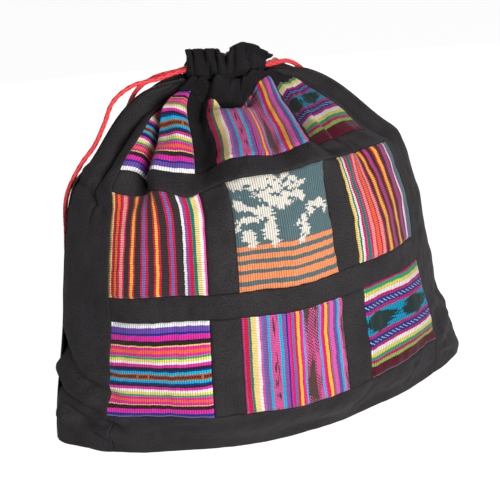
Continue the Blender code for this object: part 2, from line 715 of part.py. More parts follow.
def place_in_tab_frame(obj, hand, middle):
    """Turn an object so its own X runs along the cloth, Y out of the bag and Z up the cloth."""
    _, outward, along, climb = tab_frame(hand)
    turn = Matrix((along, np.cross(climb, along), climb)).transposed()
    obj.matrix_world = Matrix.Translation(middle) @ turn.to_4x4()


def make_tab(name, hand):
    """A loop of folded tape that stands out from the back, with its eye pointing up the cloth."""
    data = bpy.data.curves.new(name, "CURVE")
    data.dimensions = "2D"
    data.fill_mode = "BOTH"
    data.extrude = TAB_HEIGHT / 2
    stadium(data.splines.new("POLY"), TAB_EYE_LENGTH + 2 * TAB_WALL, TAB_EYE_DEPTH + 2 * TAB_WALL, 6)
    stadium(data.splines.new("POLY"), TAB_EYE_LENGTH, TAB_EYE_DEPTH, 6)
    obj = bpy.data.objects.new(name, data)
    bpy.context.scene.collection.objects.link(obj)
    place_in_tab_frame(obj, hand, tab_centre(hand))
    return finish(obj, "black_cotton")


def make_knot(name, hand):
    """The knot that joins the cord's two ends under its tab, with a short tail below it."""
    knot_mesh = bpy.data.meshes.new(name)
    shape = bmesh.new()
    bmesh.ops.create_uvsphere(shape, u_segments=16, v_segments=10, radius=KNOT_RADIUS)
    for vertex in shape.verts:
        turn = math.atan2(vertex.co.y, vertex.co.x)
        rise = vertex.co.z / KNOT_RADIUS
        tail = smooth_step((-rise - 0.85) / 0.12)
        vertex.co *= 0.93 + 0.07 * math.cos(3 * turn + 2.5 * rise)
        vertex.co.z = vertex.co.z * KNOT_FLATNESS - KNOT_TAIL * tail
    shape.to_mesh(knot_mesh)
    shape.free()
    knot_mesh.shade_smooth()
    obj = bpy.data.objects.new(name, knot_mesh)
    bpy.context.scene.collection.objects.link(obj)
    place_in_tab_frame(obj, hand, knot_centre(hand))
    return finish(obj, "red_cord")


def centre_on_floor():
    """Move everything so the origin is under the middle of the bag's own box."""
    bpy.context.view_layer.update()
    corners = []
    for obj in bpy.data.collections["backpack"].objects:
        if not obj.name.startswith("cord"):
            corners += [obj.matrix_world @ Vector(corner) for corner in obj.bound_box]
    corners = np.array(corners)
    middle = (corners.min(0) + corners.max(0)) / 2
    shift = Vector((-middle[0], -middle[1], -corners[:, 2].min()))
    for obj in bpy.data.collections["backpack"].objects:
        obj.matrix_world = Matrix.Translation(shift) @ obj.matrix_world
    print("moved by", [round(1000 * value, 2) for value in shift], "mm")


def main():
    clear_scene()
    bpy.context.scene.collection.children.link(bpy.data.collections.new("backpack"))
    make_patchwork()
    make_borders_and_back()
    make_base()
    make_casings()
    channel_floor = CORD_DIAMETER / 2 + CHANNEL_FLOOR
    upper = channel_floor + CORD_SPACING
    make_cord("cord_right", 1, channel_floor, RIGHT_NEAR_RUN, RIGHT_FAR_RUN)
    make_cord("cord_left", -1, upper, LEFT_NEAR_RUN, LEFT_FAR_RUN)
    for side, hand in (("left", -1), ("right", 1)):
        make_tab(f"tab_{side}", hand)
        make_knot(f"knot_{side}", hand)
    centre_on_floor()


main()
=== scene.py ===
import math

import bpy
import numpy as np
from mathutils import Matrix, Vector


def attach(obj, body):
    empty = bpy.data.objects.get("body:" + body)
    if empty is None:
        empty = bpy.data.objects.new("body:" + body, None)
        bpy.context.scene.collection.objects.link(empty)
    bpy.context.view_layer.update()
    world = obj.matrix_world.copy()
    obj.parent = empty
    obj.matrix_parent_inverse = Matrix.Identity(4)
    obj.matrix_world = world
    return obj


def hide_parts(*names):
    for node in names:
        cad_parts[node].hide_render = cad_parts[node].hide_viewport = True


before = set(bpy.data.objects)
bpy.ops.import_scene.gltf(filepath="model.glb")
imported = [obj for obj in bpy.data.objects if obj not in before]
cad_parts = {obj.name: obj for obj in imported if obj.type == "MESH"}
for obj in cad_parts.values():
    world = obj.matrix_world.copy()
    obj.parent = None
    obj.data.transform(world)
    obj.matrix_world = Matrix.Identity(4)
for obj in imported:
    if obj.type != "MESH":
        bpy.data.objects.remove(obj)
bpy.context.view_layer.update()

front, back = -1.0, 1.0


# camera: aim point, angles in degrees, distance in metres
camera = {
    "aim": (-0.0045, -0.0125, 0.200), "azimuth": -15.6, "elevation": 21.0, "roll": -5.0,
    "distance": 0.98, "lens": 69.77, "shift": (-0.0086, -0.0446),
}


def placeCamera():
    turn, rise, roll = (math.radians(camera[key]) for key in ("azimuth", "elevation", "roll"))
    away = Vector((math.sin(turn) * math.cos(rise), -math.cos(turn) * math.cos(rise), math.sin(rise)))
    right = Vector((math.cos(turn), math.sin(turn), 0))
    up = away.cross(right)
    rolledRight = right * math.cos(roll) + up * math.sin(roll)
    rolledUp = up * math.cos(roll) - right * math.sin(roll)
    data = bpy.data.cameras.new("photoCamera")
    data.lens = camera["lens"]
    data.sensor_width = 36
    data.shift_x, data.shift_y = camera["shift"]
    obj = bpy.data.objects.new("photoCamera", data)
    bpy.context.scene.collection.objects.link(obj)
    spot = Vector(camera["aim"]) + away * camera["distance"]
    obj.matrix_world = Matrix.Translation(spot) @ Matrix((rolledRight, rolledUp, away)).transposed().to_4x4()
    bpy.context.scene.camera = obj


placeCamera()
print("camera placed")


# the bag's cloth: flat sizes, then the stuffed shape at each seam from the bottom up
bag = {
    "patch": 0.105, "strip": 0.030, "band": 0.026, "hem": 0.057, "top": 0.026, "border": 0.073,
    "cloth": 0.0012, "gap": 0.0004, "seam": 0.0001, "bottom": 0.006, "sideDrop": 0.017, "dropFade": 0.15,
    "cornerReach": 0.009, "hemRoll": 0.0048, "hemRollReach": 0.014,
    "halfWidths": (0.227, 0.220, 0.200, 0.196, 0.171, 0.156, 0.088),
    "frontDepths": (0.100, 0.132, 0.138, 0.139, 0.116, 0.094, -0.002),
    "backDepths": (0.088, 0.116, 0.124, 0.124, 0.112, 0.104, 0.082),
    "roundness": (1.60, 1.57, 1.52, 1.50, 1.42, 1.40, 1.40, 2.0),
    "moved": (-0.0045, 0.00769, 0.0),
}
neck = {
    "halfWidth": 0.038, "halfDepth": 0.020, "back": 0.035, "rise": 0.006, "channel": 0.0056,
    "height": 0.027, "fold": 0.0017, "slit": 0.0075,
}
gathers = {
    "width": 0.036, "deepest": 0.018, "neckDepth": 0.001, "swell": 0.004, "backFolds": 6, "neckCalm": 0.014,
    "pouch": 0.011, "pouchPlace": -0.0184, "pouchHalfWidth": 0.0394, "pouchLevel": 0.45, "pouchSpread": 0.46,
    "frontTilt": 60, "backTilt": 25, "sag": 0.009, "sagPitch": 0.105, "calm": 0.025, "least": 0.30,
    "ridgeWidth": 0.020, "ridgeReach": 0.034, "sideEase": 1.2, "tuck": 0.004, "tuckReach": 0.010,
    "droop": 0.026, "droopPlace": -0.022, "droopWidth": 0.030, "droopReach": 0.020, "droopBelow": 0.004,
    "wrinkleEnds": 5,
}
# how finely the cloth is worked out: points on a half ring and across it, then grid sizes in metres
detail = {"ring": 97, "across": 401, "patch": 0.003, "seen": 0.0015, "border": 0.0025, "back": 0.0031}

patchHalf = bag["patch"] / 2
innerSeam = patchHalf + bag["strip"]
outerSeam = innerSeam + bag["patch"]
panelHalf = outerSeam + bag["border"]
seamUps = np.cumsum([0, *(bag[key] for key in ("hem", "patch", "band", "patch", "band", "patch", "top"))])
clothUp = seamUps[-1]
foldStart = (seamUps[3] + seamUps[4]) / 2

# each front fold: place across, depth against a plain fold, its share of the gathered cloth at four heights
frontFolds = (
    (-(outerSeam + bag["border"] / 2), 1.0, 0.28, 0.22, 0.08, 0.12),
    (-(innerSeam + patchHalf) - 0.016, 1.2, 0.17, 0.20, 0.32, 0.24),
    (-(patchHalf + bag["strip"] / 2), 1.0, 0.04, 0.08, 0.02, 0.06),
    (0.3 * patchHalf, 1.0, 0.02, 0.05, 0.02, 0.10),
    (innerSeam, 1.0, 0.07, 0.18, 0.12, 0.13),
    (innerSeam + patchHalf, 0.5, 0.32, 0.21, 0.34, 0.24),
    (outerSeam + bag["border"] / 2, 1.0, 0.10, 0.06, 0.10, 0.12),
)
# where the slack cloth under the neck stands up in a ridge or dips: place across, height
topRidges = ((-innerSeam, 0.014), (0.65 * patchHalf, 0.009), (-0.35 * patchHalf, -0.011))
# wrinkles: from and to as places across and up the cloth, height (a crease is below 0), width, sharpness
wrinkles = (
    (-0.146, 0.300, -0.153, 0.440, -0.0120, 0.0100, 1), (-0.122, 0.282, -0.134, 0.446, 0.0070, 0.0120, 2),
    (-0.118, 0.370, -0.120, 0.480, 0.0140, 0.0200, 2), (-0.030, 0.452, 0.010, 0.422, -0.0050, 0.0060, 2),
    (-0.050, 0.456, -0.038, 0.400, 0.0075, 0.0090, 2), (0.022, 0.452, 0.020, 0.412, -0.0060, 0.0060, 2),
    (-0.070, 0.452, -0.062, 0.380, -0.0060, 0.0070, 2), (0.002, 0.446, -0.006, 0.405, 0.0050, 0.0070, 2),
    (-0.222, 0.230, -0.212, 0.410, -0.0050, 0.0100, 1), (0.128, 0.270, 0.120, 0.440, -0.0030, 0.0090, 1),
    (0.150, 0.270, 0.140, 0.430, 0.0025, 0.0140, 2),
    (-0.268, 0.308, -0.190, 0.260, -0.0045, 0.0070, 1), (-0.268, 0.328, -0.200, 0.280, 0.0035, 0.0100, 2),
    (-0.275, 0.140, -0.198, 0.080, -0.0070, 0.0100, 2), (-0.275, 0.112, -0.198, 0.064, 0.0050, 0.0100, 2),
    (-0.275, 0.088, -0.196, 0.050, -0.0055, 0.0080, 2), (-0.240, 0.030, -0.150, 0.050, -0.0035, 0.0070, 2),
    (-0.170, 0.018, -0.095, 0.046, -0.0030, 0.0065, 2), (0.275, 0.120, 0.185, 0.070, -0.0040, 0.0100, 2),
    (0.275, 0.085, 0.190, 0.050, 0.0030, 0.0100, 2), (0.060, 0.012, 0.085, 0.052, -0.0022, 0.0060, 2),
    (0.130, 0.010, 0.150, 0.050, -0.0022, 0.0060, 2),
)
# where the stuffing has settled: place across and up, reach each way, drop
settled = ((-0.095, 0.300, 0.045, 0.060, 0.010), (-0.176, 0.292, 0.018, 0.024, 0.005),
           (-0.153, 0.332, 0.012, 0.030, 0.013), (-0.094, 0.292, 0.012, 0.020, 0.004))


def unit(values):
    return values / np.linalg.norm(values, axis=-1, keepdims=True)


def smoothStep(value):
    value = np.clip(value, 0, 1)
    return value * value * (3 - 2 * value)


def bell(value):
    # the bell curve exp(-value^2)
    return np.exp(-(value**2))


def smoothThrough(at, places, values):
    # cubic through the values, flat where they turn back, so it never overshoots
    places, values = np.asarray(places, float), np.asarray(values, float)
    steps = np.diff(places)
    slopes = np.diff(values) / steps
    total = slopes[:-1] + slopes[1:]
    sameWay = slopes[:-1] * slopes[1:] > 0
    inner = np.where(sameWay, 2 * slopes[:-1] * slopes[1:] / np.where(sameWay, total, 1), 0)
    tangents = np.concatenate([slopes[:1], inner, slopes[-1:]])
    i = np.clip(np.searchsorted(places, at, side="right") - 1, 0, len(steps) - 1)
    t = (at - places[i]) / steps[i]
    rise = values[i] * (1 + 2 * t) * (1 - t) ** 2 + values[i + 1] * t**2 * (3 - 2 * t)
    return rise + steps[i] * t * (1 - t) * (tangents[i] * (1 - t) - tangents[i + 1] * t)


neckWidth = neck["halfWidth"] + neck["channel"]
neckDepth = neck["halfDepth"] + neck["channel"]
halfWidths = (*bag["halfWidths"], neckWidth)
frontDepths = (*bag["frontDepths"], neckDepth - neck["back"])
backDepths = (*bag["backDepths"], neckDepth + neck["back"])
rises = np.sqrt(np.maximum(np.diff(seamUps) ** 2 - np.diff(frontDepths) ** 2, 0))
rises[-1] = neck["rise"]
heights = bag["bottom"] + np.concatenate([[0], np.cumsum(rises)])
neckHeight = heights[-1]


def ringSizes(up):
    # half width, front depth, back depth, height and side-seam place at cloth heights
    found = [smoothThrough(up, seamUps, values) for values in (halfWidths, frontDepths, backDepths, heights)]
    return [*found, neck["back"] * smoothStep((up - seamUps[4]) / (clothUp - seamUps[4]))]


def halfRing(side, up):
    # superellipse halves: x = width*sin^p, y = depth*cos^p, lowered towards the side seams
    halfWidth, frontDepth, backDepth, height, retreat = (size[:, None] for size in ringSizes(up))
    up = up[:, None]
    depth = frontDepth + retreat if side == front else backDepth - retreat
    power = 2 / smoothThrough(up, seamUps, bag["roundness"])
    angle = np.linspace(-math.pi / 2, math.pi / 2, detail["ring"])[None]
    out = np.sign(angle) * np.abs(np.sin(angle)) ** power
    corner = bag["cornerReach"] * smoothStep(1 - up / (2 * bag["hem"]))
    x = halfWidth * out + corner * out.clip(0, 1) ** 3
    y = retreat + side * depth * np.cos(angle).clip(0, 1) ** power
    drop = bag["sideDrop"] * smoothStep(up / seamUps[2]) * smoothStep((clothUp - up) / bag["dropFade"])
    rolled = bag["hemRoll"] * (1 - smoothStep(up / bag["hemRollReach"]))
    return np.stack([x, y, height - drop * out**2 - rolled], -1)


def rowLengths(points):
    steps = np.linalg.norm(np.diff(points, axis=1), axis=2)
    return np.concatenate([np.zeros((len(points), 1)), np.cumsum(steps, 1)], 1)


def interpRows(places, along, values):
    # row by row interpolation in one call: each row is shifted clear of the last
    offset = np.arange(len(along))[:, None] * (along.max() * 2 + 1)
    flat, at = (along + offset).ravel(), (np.clip(places, 0, along[:, -1:]) + offset).ravel()
    found = [np.interp(at, flat, values[..., k].ravel()) for k in range(values.shape[-1])]
    return np.stack(found, -1).reshape(*places.shape, -1)


def envelope(side, share, up):
    # the stuffed outline: share (rows, columns) runs from -1 at the left seam to 1
    ring = halfRing(side, up)
    along = rowLengths(ring)
    return interpRows((np.clip(share, -1, 1) + 1) / 2 * along[:, -1:], along, ring)


def foldDirection(side, point, up):
    # out from the middle line, tilted up more and more over the shoulder
    halfWidth, frontDepth, backDepth, _, retreat = (size[:, None] for size in ringSizes(up))
    depth = frontDepth + retreat if side == front else backDepth - retreat
    flat = np.stack([point[..., 0] * depth / halfWidth, (point[..., 1] - retreat) * halfWidth / depth], -1)
    flat /= np.linalg.norm(flat, axis=-1, keepdims=True)
    most = math.radians(gathers["frontTilt"] if side == front else gathers["backTilt"])
    tilt = (most * smoothStep((up - seamUps[3]) / (seamUps[6] - seamUps[3])))[:, None]
    lift = np.broadcast_to(np.sin(tilt), flat.shape[:2])
    return np.stack([flat[..., 0] * np.cos(tilt), flat[..., 1] * np.cos(tilt), lift], -1)


def foldsAt(side, up):
    # place, gathered length, half width and depth of each fold, one value for each row
    spare = 2 * panelHalf - rowLengths(halfRing(side, up))[:, -1]
    start = smoothStep((up - foldStart) / (seamUps[5] - foldStart))
    gathered = np.maximum(spare, 0) * start
    if side == front:
        stages = (seamUps[4], seamUps[5], seamUps[6], clothUp)
        found = [(place, plain, np.interp(up, stages, shares)) for place, plain, *shares in frontFolds]
    else:
        count = gathers["backFolds"]
        found = [(-panelHalf + (k + 0.5) * 2 * panelHalf / count, 1.0, 1 / count) for k in range(count)]
    flatter = seamUps[6] if side == front else seamUps[5] + patchHalf
    near = smoothStep((up - flatter) / (clothUp - flatter))
    limit = gathers["deepest"] + (gathers["neckDepth"] - gathers["deepest"]) * near
    folds = []
    for place, plain, share in found:
        hidden = gathered * share
        half = np.maximum(gathers["width"], hidden)
        deep = np.sqrt(8 * half * hidden) / math.pi * start
        deep = np.minimum(deep, limit) * plain * (1 - (place / panelHalf) ** 4)
        folds.append((place, hidden[:, None], half[:, None], deep[:, None]))
    return folds


def foldShape(across, place, half):
    edge = smoothStep((panelHalf - np.abs(across)) / gathers["calm"])
    return edge * np.cos(np.clip((across - place) / half, -1, 1) * math.pi / 2) ** 2


def wrinklePush(across, high):
    # each wrinkle follows its own line and is calm at both ends
    total = 0
    for fromAcross, fromUp, toAcross, toUp, tall, wide, power in wrinkles:
        runAcross, runUp = toAcross - fromAcross, toUp - fromUp
        t = (across - fromAcross) * runAcross + (high - fromUp) * runUp
        t = np.clip(t / (runAcross**2 + runUp**2), 0, 1)
        away = np.hypot(across - fromAcross - t * runAcross, high - fromUp - t * runUp)
        ends = smoothStep(gathers["wrinkleEnds"] * np.minimum(t, 1 - t))
        total = total + tall * ends * np.exp(-((away / wide) ** power))
    return total


def frontPush(across, high, nearPouch):
    # the pouch, the slack and ridges under the neck, the tuck below them, and the wrinkles
    pouchUp = (high - seamUps[6]) / bag["top"]
    fade = smoothStep(2 - 2 * pouchUp)
    pouch = bell((across - gathers["pouchPlace"]) / gathers["pouchHalfWidth"])
    pouch = pouch * bell((pouchUp - gathers["pouchLevel"]) / gathers["pouchSpread"]) * fade
    slack = np.sin(math.pi * np.clip(pouchUp, 0, 1)) ** 2
    slack = slack * smoothStep(gathers["sideEase"] * (1 - np.abs(across) / panelHalf))
    ridges = sum(tall * bell((across - place) / gathers["ridgeWidth"]) for place, tall in topRidges)
    ridges = ridges * bell((high - seamUps[6]) / gathers["ridgeReach"]) * fade
    tuck = nearPouch * bell((high - seamUps[6]) / gathers["tuckReach"] + 1)
    push = gathers["pouch"] * pouch + gathers["swell"] * slack - gathers["tuck"] * tuck
    nearNeck = smoothStep((clothUp - high) / gathers["neckCalm"])
    return push + nearNeck * (ridges + wrinklePush(across, high))


def backPush(across, high):
    # two soft folds where the back sags
    sag = np.sin(math.pi * (high - foldStart) / gathers["sagPitch"]) ** 2
    inside = np.abs(high - foldStart) < gathers["sagPitch"]
    return -gathers["sag"] * sag * inside * smoothStep(gathers["sideEase"] * (1 - np.abs(across) / panelHalf))


def frontDrop(across, high, nearPouch):
    # how far the pouch droops and the stuffing has settled
    drop = gathers["droop"] * nearPouch * bell((high - seamUps[6] + gathers["droopBelow"]) / gathers["droopReach"])
    for place, level, wide, tall, low in settled:
        drop = drop + low * bell((across - place) / wide) * bell((high - level) / tall)
    return drop


def outlinePoints(side, across, up):
    # the cloth's outer face as in the CAD, for rows of places across it
    across = np.broadcast_to(across, (len(up), np.shape(across)[-1]))
    fine = np.linspace(-panelHalf, panelHalf, detail["across"])[None]
    folds = foldsAt(side, up)
    taken = sum(hidden / half * foldShape(fine, place, half) for place, hidden, half, _ in folds)
    rate = np.maximum(1 - taken, gathers["least"])
    travel = np.cumsum(rate, 1) - rate[:, :1]
    level = np.broadcast_to(fine + panelHalf, travel.shape)
    share = interpRows(across + panelHalf, level, (travel / travel[:, -1:])[..., None])[..., 0]
    point = envelope(side, share * 2 - 1, up)
    push = -sum(deep * foldShape(across, place, half) for place, _, half, deep in folds)
    high = up[:, None]
    nearPouch = bell((across - gathers["droopPlace"]) / gathers["droopWidth"])
    nearPouch = nearPouch * smoothStep((clothUp - high) / gathers["neckCalm"])
    push = push + (frontPush(across, high, nearPouch) if side == front else backPush(across, high))
    found = point + foldDirection(side, point, up) * push[..., None]
    if side == front:
        found[..., 2] -= frontDrop(across, high, nearPouch)
    return found


def waves(a, b, seed, size, count=7):
    # a smooth random field: plane waves of about one size in seeded directions
    rng = np.random.default_rng(seed)
    total = 0
    for turn, pace, phase in zip(*rng.uniform(size=(3, count))):
        pace = 2 * math.pi / size * (0.6 + 0.9 * pace)
        total = total + np.sin(pace * (a * math.cos(2 * math.pi * turn) + b * math.sin(2 * math.pi * turn)) + 7 * phase)
    return total / math.sqrt(count)


# how the sewn cloth stands proud, draws in and hangs slack in its lower corners, in metres
surface = {
    "seamDepth": 0.0013, "seamWidth": 0.0020, "pucker": 0.0004, "puckerPitch": 0.016, "puckerReach": 0.006,
    "borderSeam": 0.2, "lump": 0.0018, "lumpSize": 0.085, "crinkle": 0.00035, "crinkleSize": 0.022,
    "gather": 0.0042, "gatherPitch": 0.031, "gatherReach": 0.060, "gatherSway": 1.3, "swaySize": 0.06,
    "neckCalm": 0.010, "sideCalm": 0.02, "hemCalm": 0.012, "hemShare": 0.35,
    "sagLump": 0.0042, "sagSize": 0.055, "sagLeft": 0.150, "sagRight": 0.160, "sagRightShare": 0.45,
    "sagFade": 0.05, "sagTop": 0.150, "sagRise": 0.09,
}


def sewnLine(distance, run, place, seed):
    # a groove along a seam, with puckers that cross it
    ripple = waves(run, 0 * run + place, seed, surface["puckerPitch"], 5)
    ripple = ripple * np.exp(-np.abs(distance) / surface["puckerReach"])
    return surface["pucker"] * ripple - surface["seamDepth"] * bell(distance / surface["seamWidth"])


def seamRelief(across, up):
    reach = surface["seamWidth"]
    inRows = sum(smoothStep((up - low) / reach) * smoothStep((high - up) / reach)
                 for low, high in zip(seamUps[1:6:2], seamUps[2:7:2]))
    uprights = ((outerSeam, surface["borderSeam"]), (panelHalf, 1.0), (patchHalf, inRows), (innerSeam, inRows))
    total = 0
    for place, there in uprights:
        for seam in (-place, place):
            total = total + there * sewnLine(across - seam, up, seam, 11)
    inside = smoothStep((outerSeam - np.abs(across)) / reach)
    for k, seam in enumerate(seamUps[1:-1]):
        total = total + inside * sewnLine(up - seam, across, seam, 23 + k)
    return total


def relief(side, across, up):
    offset = 0.3 * side
    total = surface["lump"] * waves(across + offset, up, 3, surface["lumpSize"])
    total = total + surface["crinkle"] * waves(across + offset, up, 5, surface["crinkleSize"])
    near = smoothStep(1 - (clothUp - up) / surface["gatherReach"]) * smoothStep((clothUp - up) / surface["neckCalm"])
    sway = surface["gatherSway"] * waves(across, up, 8, surface["swaySize"])
    turn = 2 * math.pi * across / surface["gatherPitch"] + sway
    total = total + surface["gather"] * near**2 * (np.abs(np.sin(turn / 2)) * 2 - 1)
    # the empty lower corners hang in soft slanting lumps
    corner = smoothStep((-surface["sagLeft"] - across) / surface["sagFade"])
    corner = corner + surface["sagRightShare"] * smoothStep((across - surface["sagRight"]) / surface["sagFade"])
    corner = corner * smoothStep((surface["sagTop"] - up) / surface["sagRise"]) * (side == front)
    total = total + surface["sagLump"] * corner * waves(across + 0.5 * up, 1.5 * up, 31, surface["sagSize"])
    calm = smoothStep((panelHalf - np.abs(across)) / surface["sideCalm"])
    calm = calm * (surface["hemShare"] + (1 - surface["hemShare"]) * smoothStep(up / surface["hemCalm"]))
    return total * calm + (seamRelief(across, up) if side == front else 0)


def clothPoints(side, across, up):
    # outline plus relief along the outline's own outward direction
    reach = 0.004
    outer = outlinePoints(side, across, up)
    sideways = outlinePoints(side, across + reach, up) - outlinePoints(side, across - reach, up)
    upwards = outlinePoints(side, across, up + reach) - outlinePoints(side, across, up - reach)
    outward = np.cross(sideways, upwards) * -side
    outward[:, np.abs(across) > panelHalf - 2 * bag["gap"], 1] = 0
    outward /= np.linalg.norm(outward, axis=2, keepdims=True)
    if side == front:
        # tight gathers get their thickness along the direction that they were folded in
        share = smoothStep((up - seamUps[5]) / (seamUps[6] - seamUps[5]))[:, None, None]
        share = share * smoothStep((panelHalf - np.abs(across)) / gathers["calm"])[None, :, None]
        outward = unit(outward * (1 - share) + foldDirection(front, outer, up) * share)
    return outer + outward * relief(side, across[None], up[:, None])[..., None], outward


# mesh helpers
def gridMesh(name, points, uv, flip=False, ring=False):
    # quads between neighbours of a grid of points, with one uv for each grid corner
    rows, columns = points.shape[:2]
    index = np.arange(rows * columns).reshape(rows, columns)
    corner = np.arange(rows * uv.shape[1]).reshape(rows, uv.shape[1])
    if ring:
        index = np.concatenate([index, index[:, :1]], 1)
    quads, corners = (np.stack([g[:-1, :-1], g[:-1, 1:], g[1:, 1:], g[1:, :-1]], -1).reshape(-1, 4)
                      for g in (index, corner))
    if flip:
        quads, corners = quads[:, ::-1], corners[:, ::-1]
    mesh = bpy.data.meshes.new(name)
    mesh.vertices.add(rows * columns)
    mesh.vertices.foreach_set("co", (points + bag["moved"]).astype(np.float32).ravel())
    mesh.loops.add(quads.size)
    mesh.loops.foreach_set("vertex_index", quads.astype(np.int32).ravel())
    mesh.polygons.add(len(quads))
    mesh.polygons.foreach_set("loop_start", np.arange(0, quads.size, 4, dtype=np.int32))
    mesh.polygons.foreach_set("use_smooth", np.ones(len(quads), bool))
    layer = mesh.uv_layers.new(name="UVMap")
    layer.data.foreach_set("uv", uv.reshape(-1, 2)[corners.ravel()].astype(np.float32).ravel())
    mesh.update(calc_edges=True)
    mesh.validate()
    return mesh


def addPiece(name, mesh, material, nodes, thickness=0.0):
    obj = bpy.data.objects.new(name, mesh)
    bpy.context.scene.collection.objects.link(obj)
    mesh.materials.append(material)
    if thickness:
        wall = obj.modifiers.new("thickness", "SOLIDIFY")
        wall.thickness = thickness
        wall.offset = -1
    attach(obj, "root")
    if nodes:
        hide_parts(*nodes)
    return obj


# material helpers
class Value:
    # a number in a node tree, so that a pattern's formula reads as plain arithmetic
    def __init__(self, socket):
        self.socket = socket

    def calc(self, operation, *others):
        inputs = dict(enumerate((self, *others)))
        return Value(addNode(self.socket.id_data, "Math", inputs, operation=operation).outputs[0])

    def __add__(self, other):
        return self.calc("ADD", other)

    def __sub__(self, other):
        return self.calc("SUBTRACT", other)

    def __mul__(self, other):
        return self.calc("MULTIPLY", other)

    def __truediv__(self, other):
        return self.calc("DIVIDE", other)

    def __pow__(self, other):
        return self.calc("POWER", other)

    def __gt__(self, other):
        return self.calc("GREATER_THAN", other)

    def __abs__(self):
        return self.calc("ABSOLUTE")


def connect(value, target):
    # links a node's output, or sets a plain value
    value = getattr(value, "socket", value)
    if isinstance(value, bpy.types.NodeSocket):
        target.id_data.links.new(value, target)
    else:
        target.default_value = value


def addNode(tree, kind, inputs=(), **settings):
    made = tree.nodes.new("ShaderNode" + kind)
    for key, value in settings.items():
        setattr(made, key, value)
    for key, value in dict(inputs).items():
        connect(value, made.inputs[key])
    return made


def linear(rgb):
    return tuple((value / 255 / 12.92) if value < 11 else ((value / 255 + 0.055) / 1.055) ** 2.4 for value in rgb)


def newMaterial(name, roughness=0.85, sheen=0.0, sheenTint=(255, 255, 255), specular=0.08):
    made = bpy.data.materials.new(name)
    made.use_nodes = True
    shader = made.node_tree.nodes["Principled BSDF"]
    looks = {"Roughness": roughness, "Specular IOR Level": specular, "Sheen Weight": sheen,
             "Sheen Roughness": 0.5, "Sheen Tint": (*linear(sheenTint), 1)}
    for key, value in looks.items():
        shader.inputs[key].default_value = value
    return made, made.node_tree, shader


def mixColour(tree, factor, a, b, blend="MIX"):
    # a and b are node outputs, or colours as 0 to 255
    made = addNode(tree, "Mix", {0: factor}, data_type="RGBA", blend_type=blend)
    for key, colour in ((6, a), (7, b)):
        connect((*linear(colour), 1) if isinstance(colour, tuple) else colour, made.inputs[key])
    return made.outputs[2]


def vector(tree, x, y, z=0.0):
    return addNode(tree, "CombineXYZ", {0: x, 1: y, 2: z}).outputs[0]


def uvValues(tree):
    # the uv as one vector and as its two numbers
    uv = addNode(tree, "TexCoord").outputs["UV"]
    across, along, _ = (Value(found) for found in addNode(tree, "SeparateXYZ", {0: uv}).outputs)
    return uv, across, along


def noise(tree, place, scale, detailLevel=2.0, roughness=0.5):
    inputs = {"Vector": place, "Scale": scale, "Detail": detailLevel, "Roughness": roughness}
    return Value(addNode(tree, "TexNoise", inputs).outputs[0])


def randomFrom(tree, dimensions, **inputs):
    # from 0 to 1, another number for each input
    return Value(addNode(tree, "TexWhiteNoise", inputs, noise_dimensions=dimensions).outputs["Value"])


def addBump(tree, shader, height, strength, distance):
    made = addNode(tree, "Bump", {"Height": height, "Strength": strength, "Distance": distance})
    connect(made.outputs[0], shader.inputs["Normal"])


palette = {
    "magenta": (225, 40, 160), "pink": (235, 85, 160), "crimson": (215, 25, 75), "orange": (245, 110, 40),
    "rust": (190, 90, 40), "yellow": (240, 215, 90), "butter": (250, 215, 130), "white": (240, 238, 240),
    "cream": (218, 212, 200), "purple": (110, 75, 170), "plum": (145, 80, 150), "navy": (10, 55, 135),
    "blue": (85, 115, 180), "cyan": (0, 175, 215), "teal": (0, 130, 115), "green": (35, 165, 120),
    "lime": (145, 190, 75), "maroon": (90, 15, 40), "charcoal": (55, 48, 48), "black": (38, 34, 36),
    "slate": (84, 106, 110), "coral": (240, 140, 90), "gold": (245, 190, 60), "brown": (85, 55, 60),
    "rose": (215, 85, 150), "violet": (105, 80, 150), "bottle": (30, 52, 50), "umber": (84, 60, 54),
    "berry": (200, 22, 110), "cerise": (225, 25, 105), "salmon": (240, 155, 140),
    "sea": (0, 150, 190), "silver": (190, 190, 205),
}

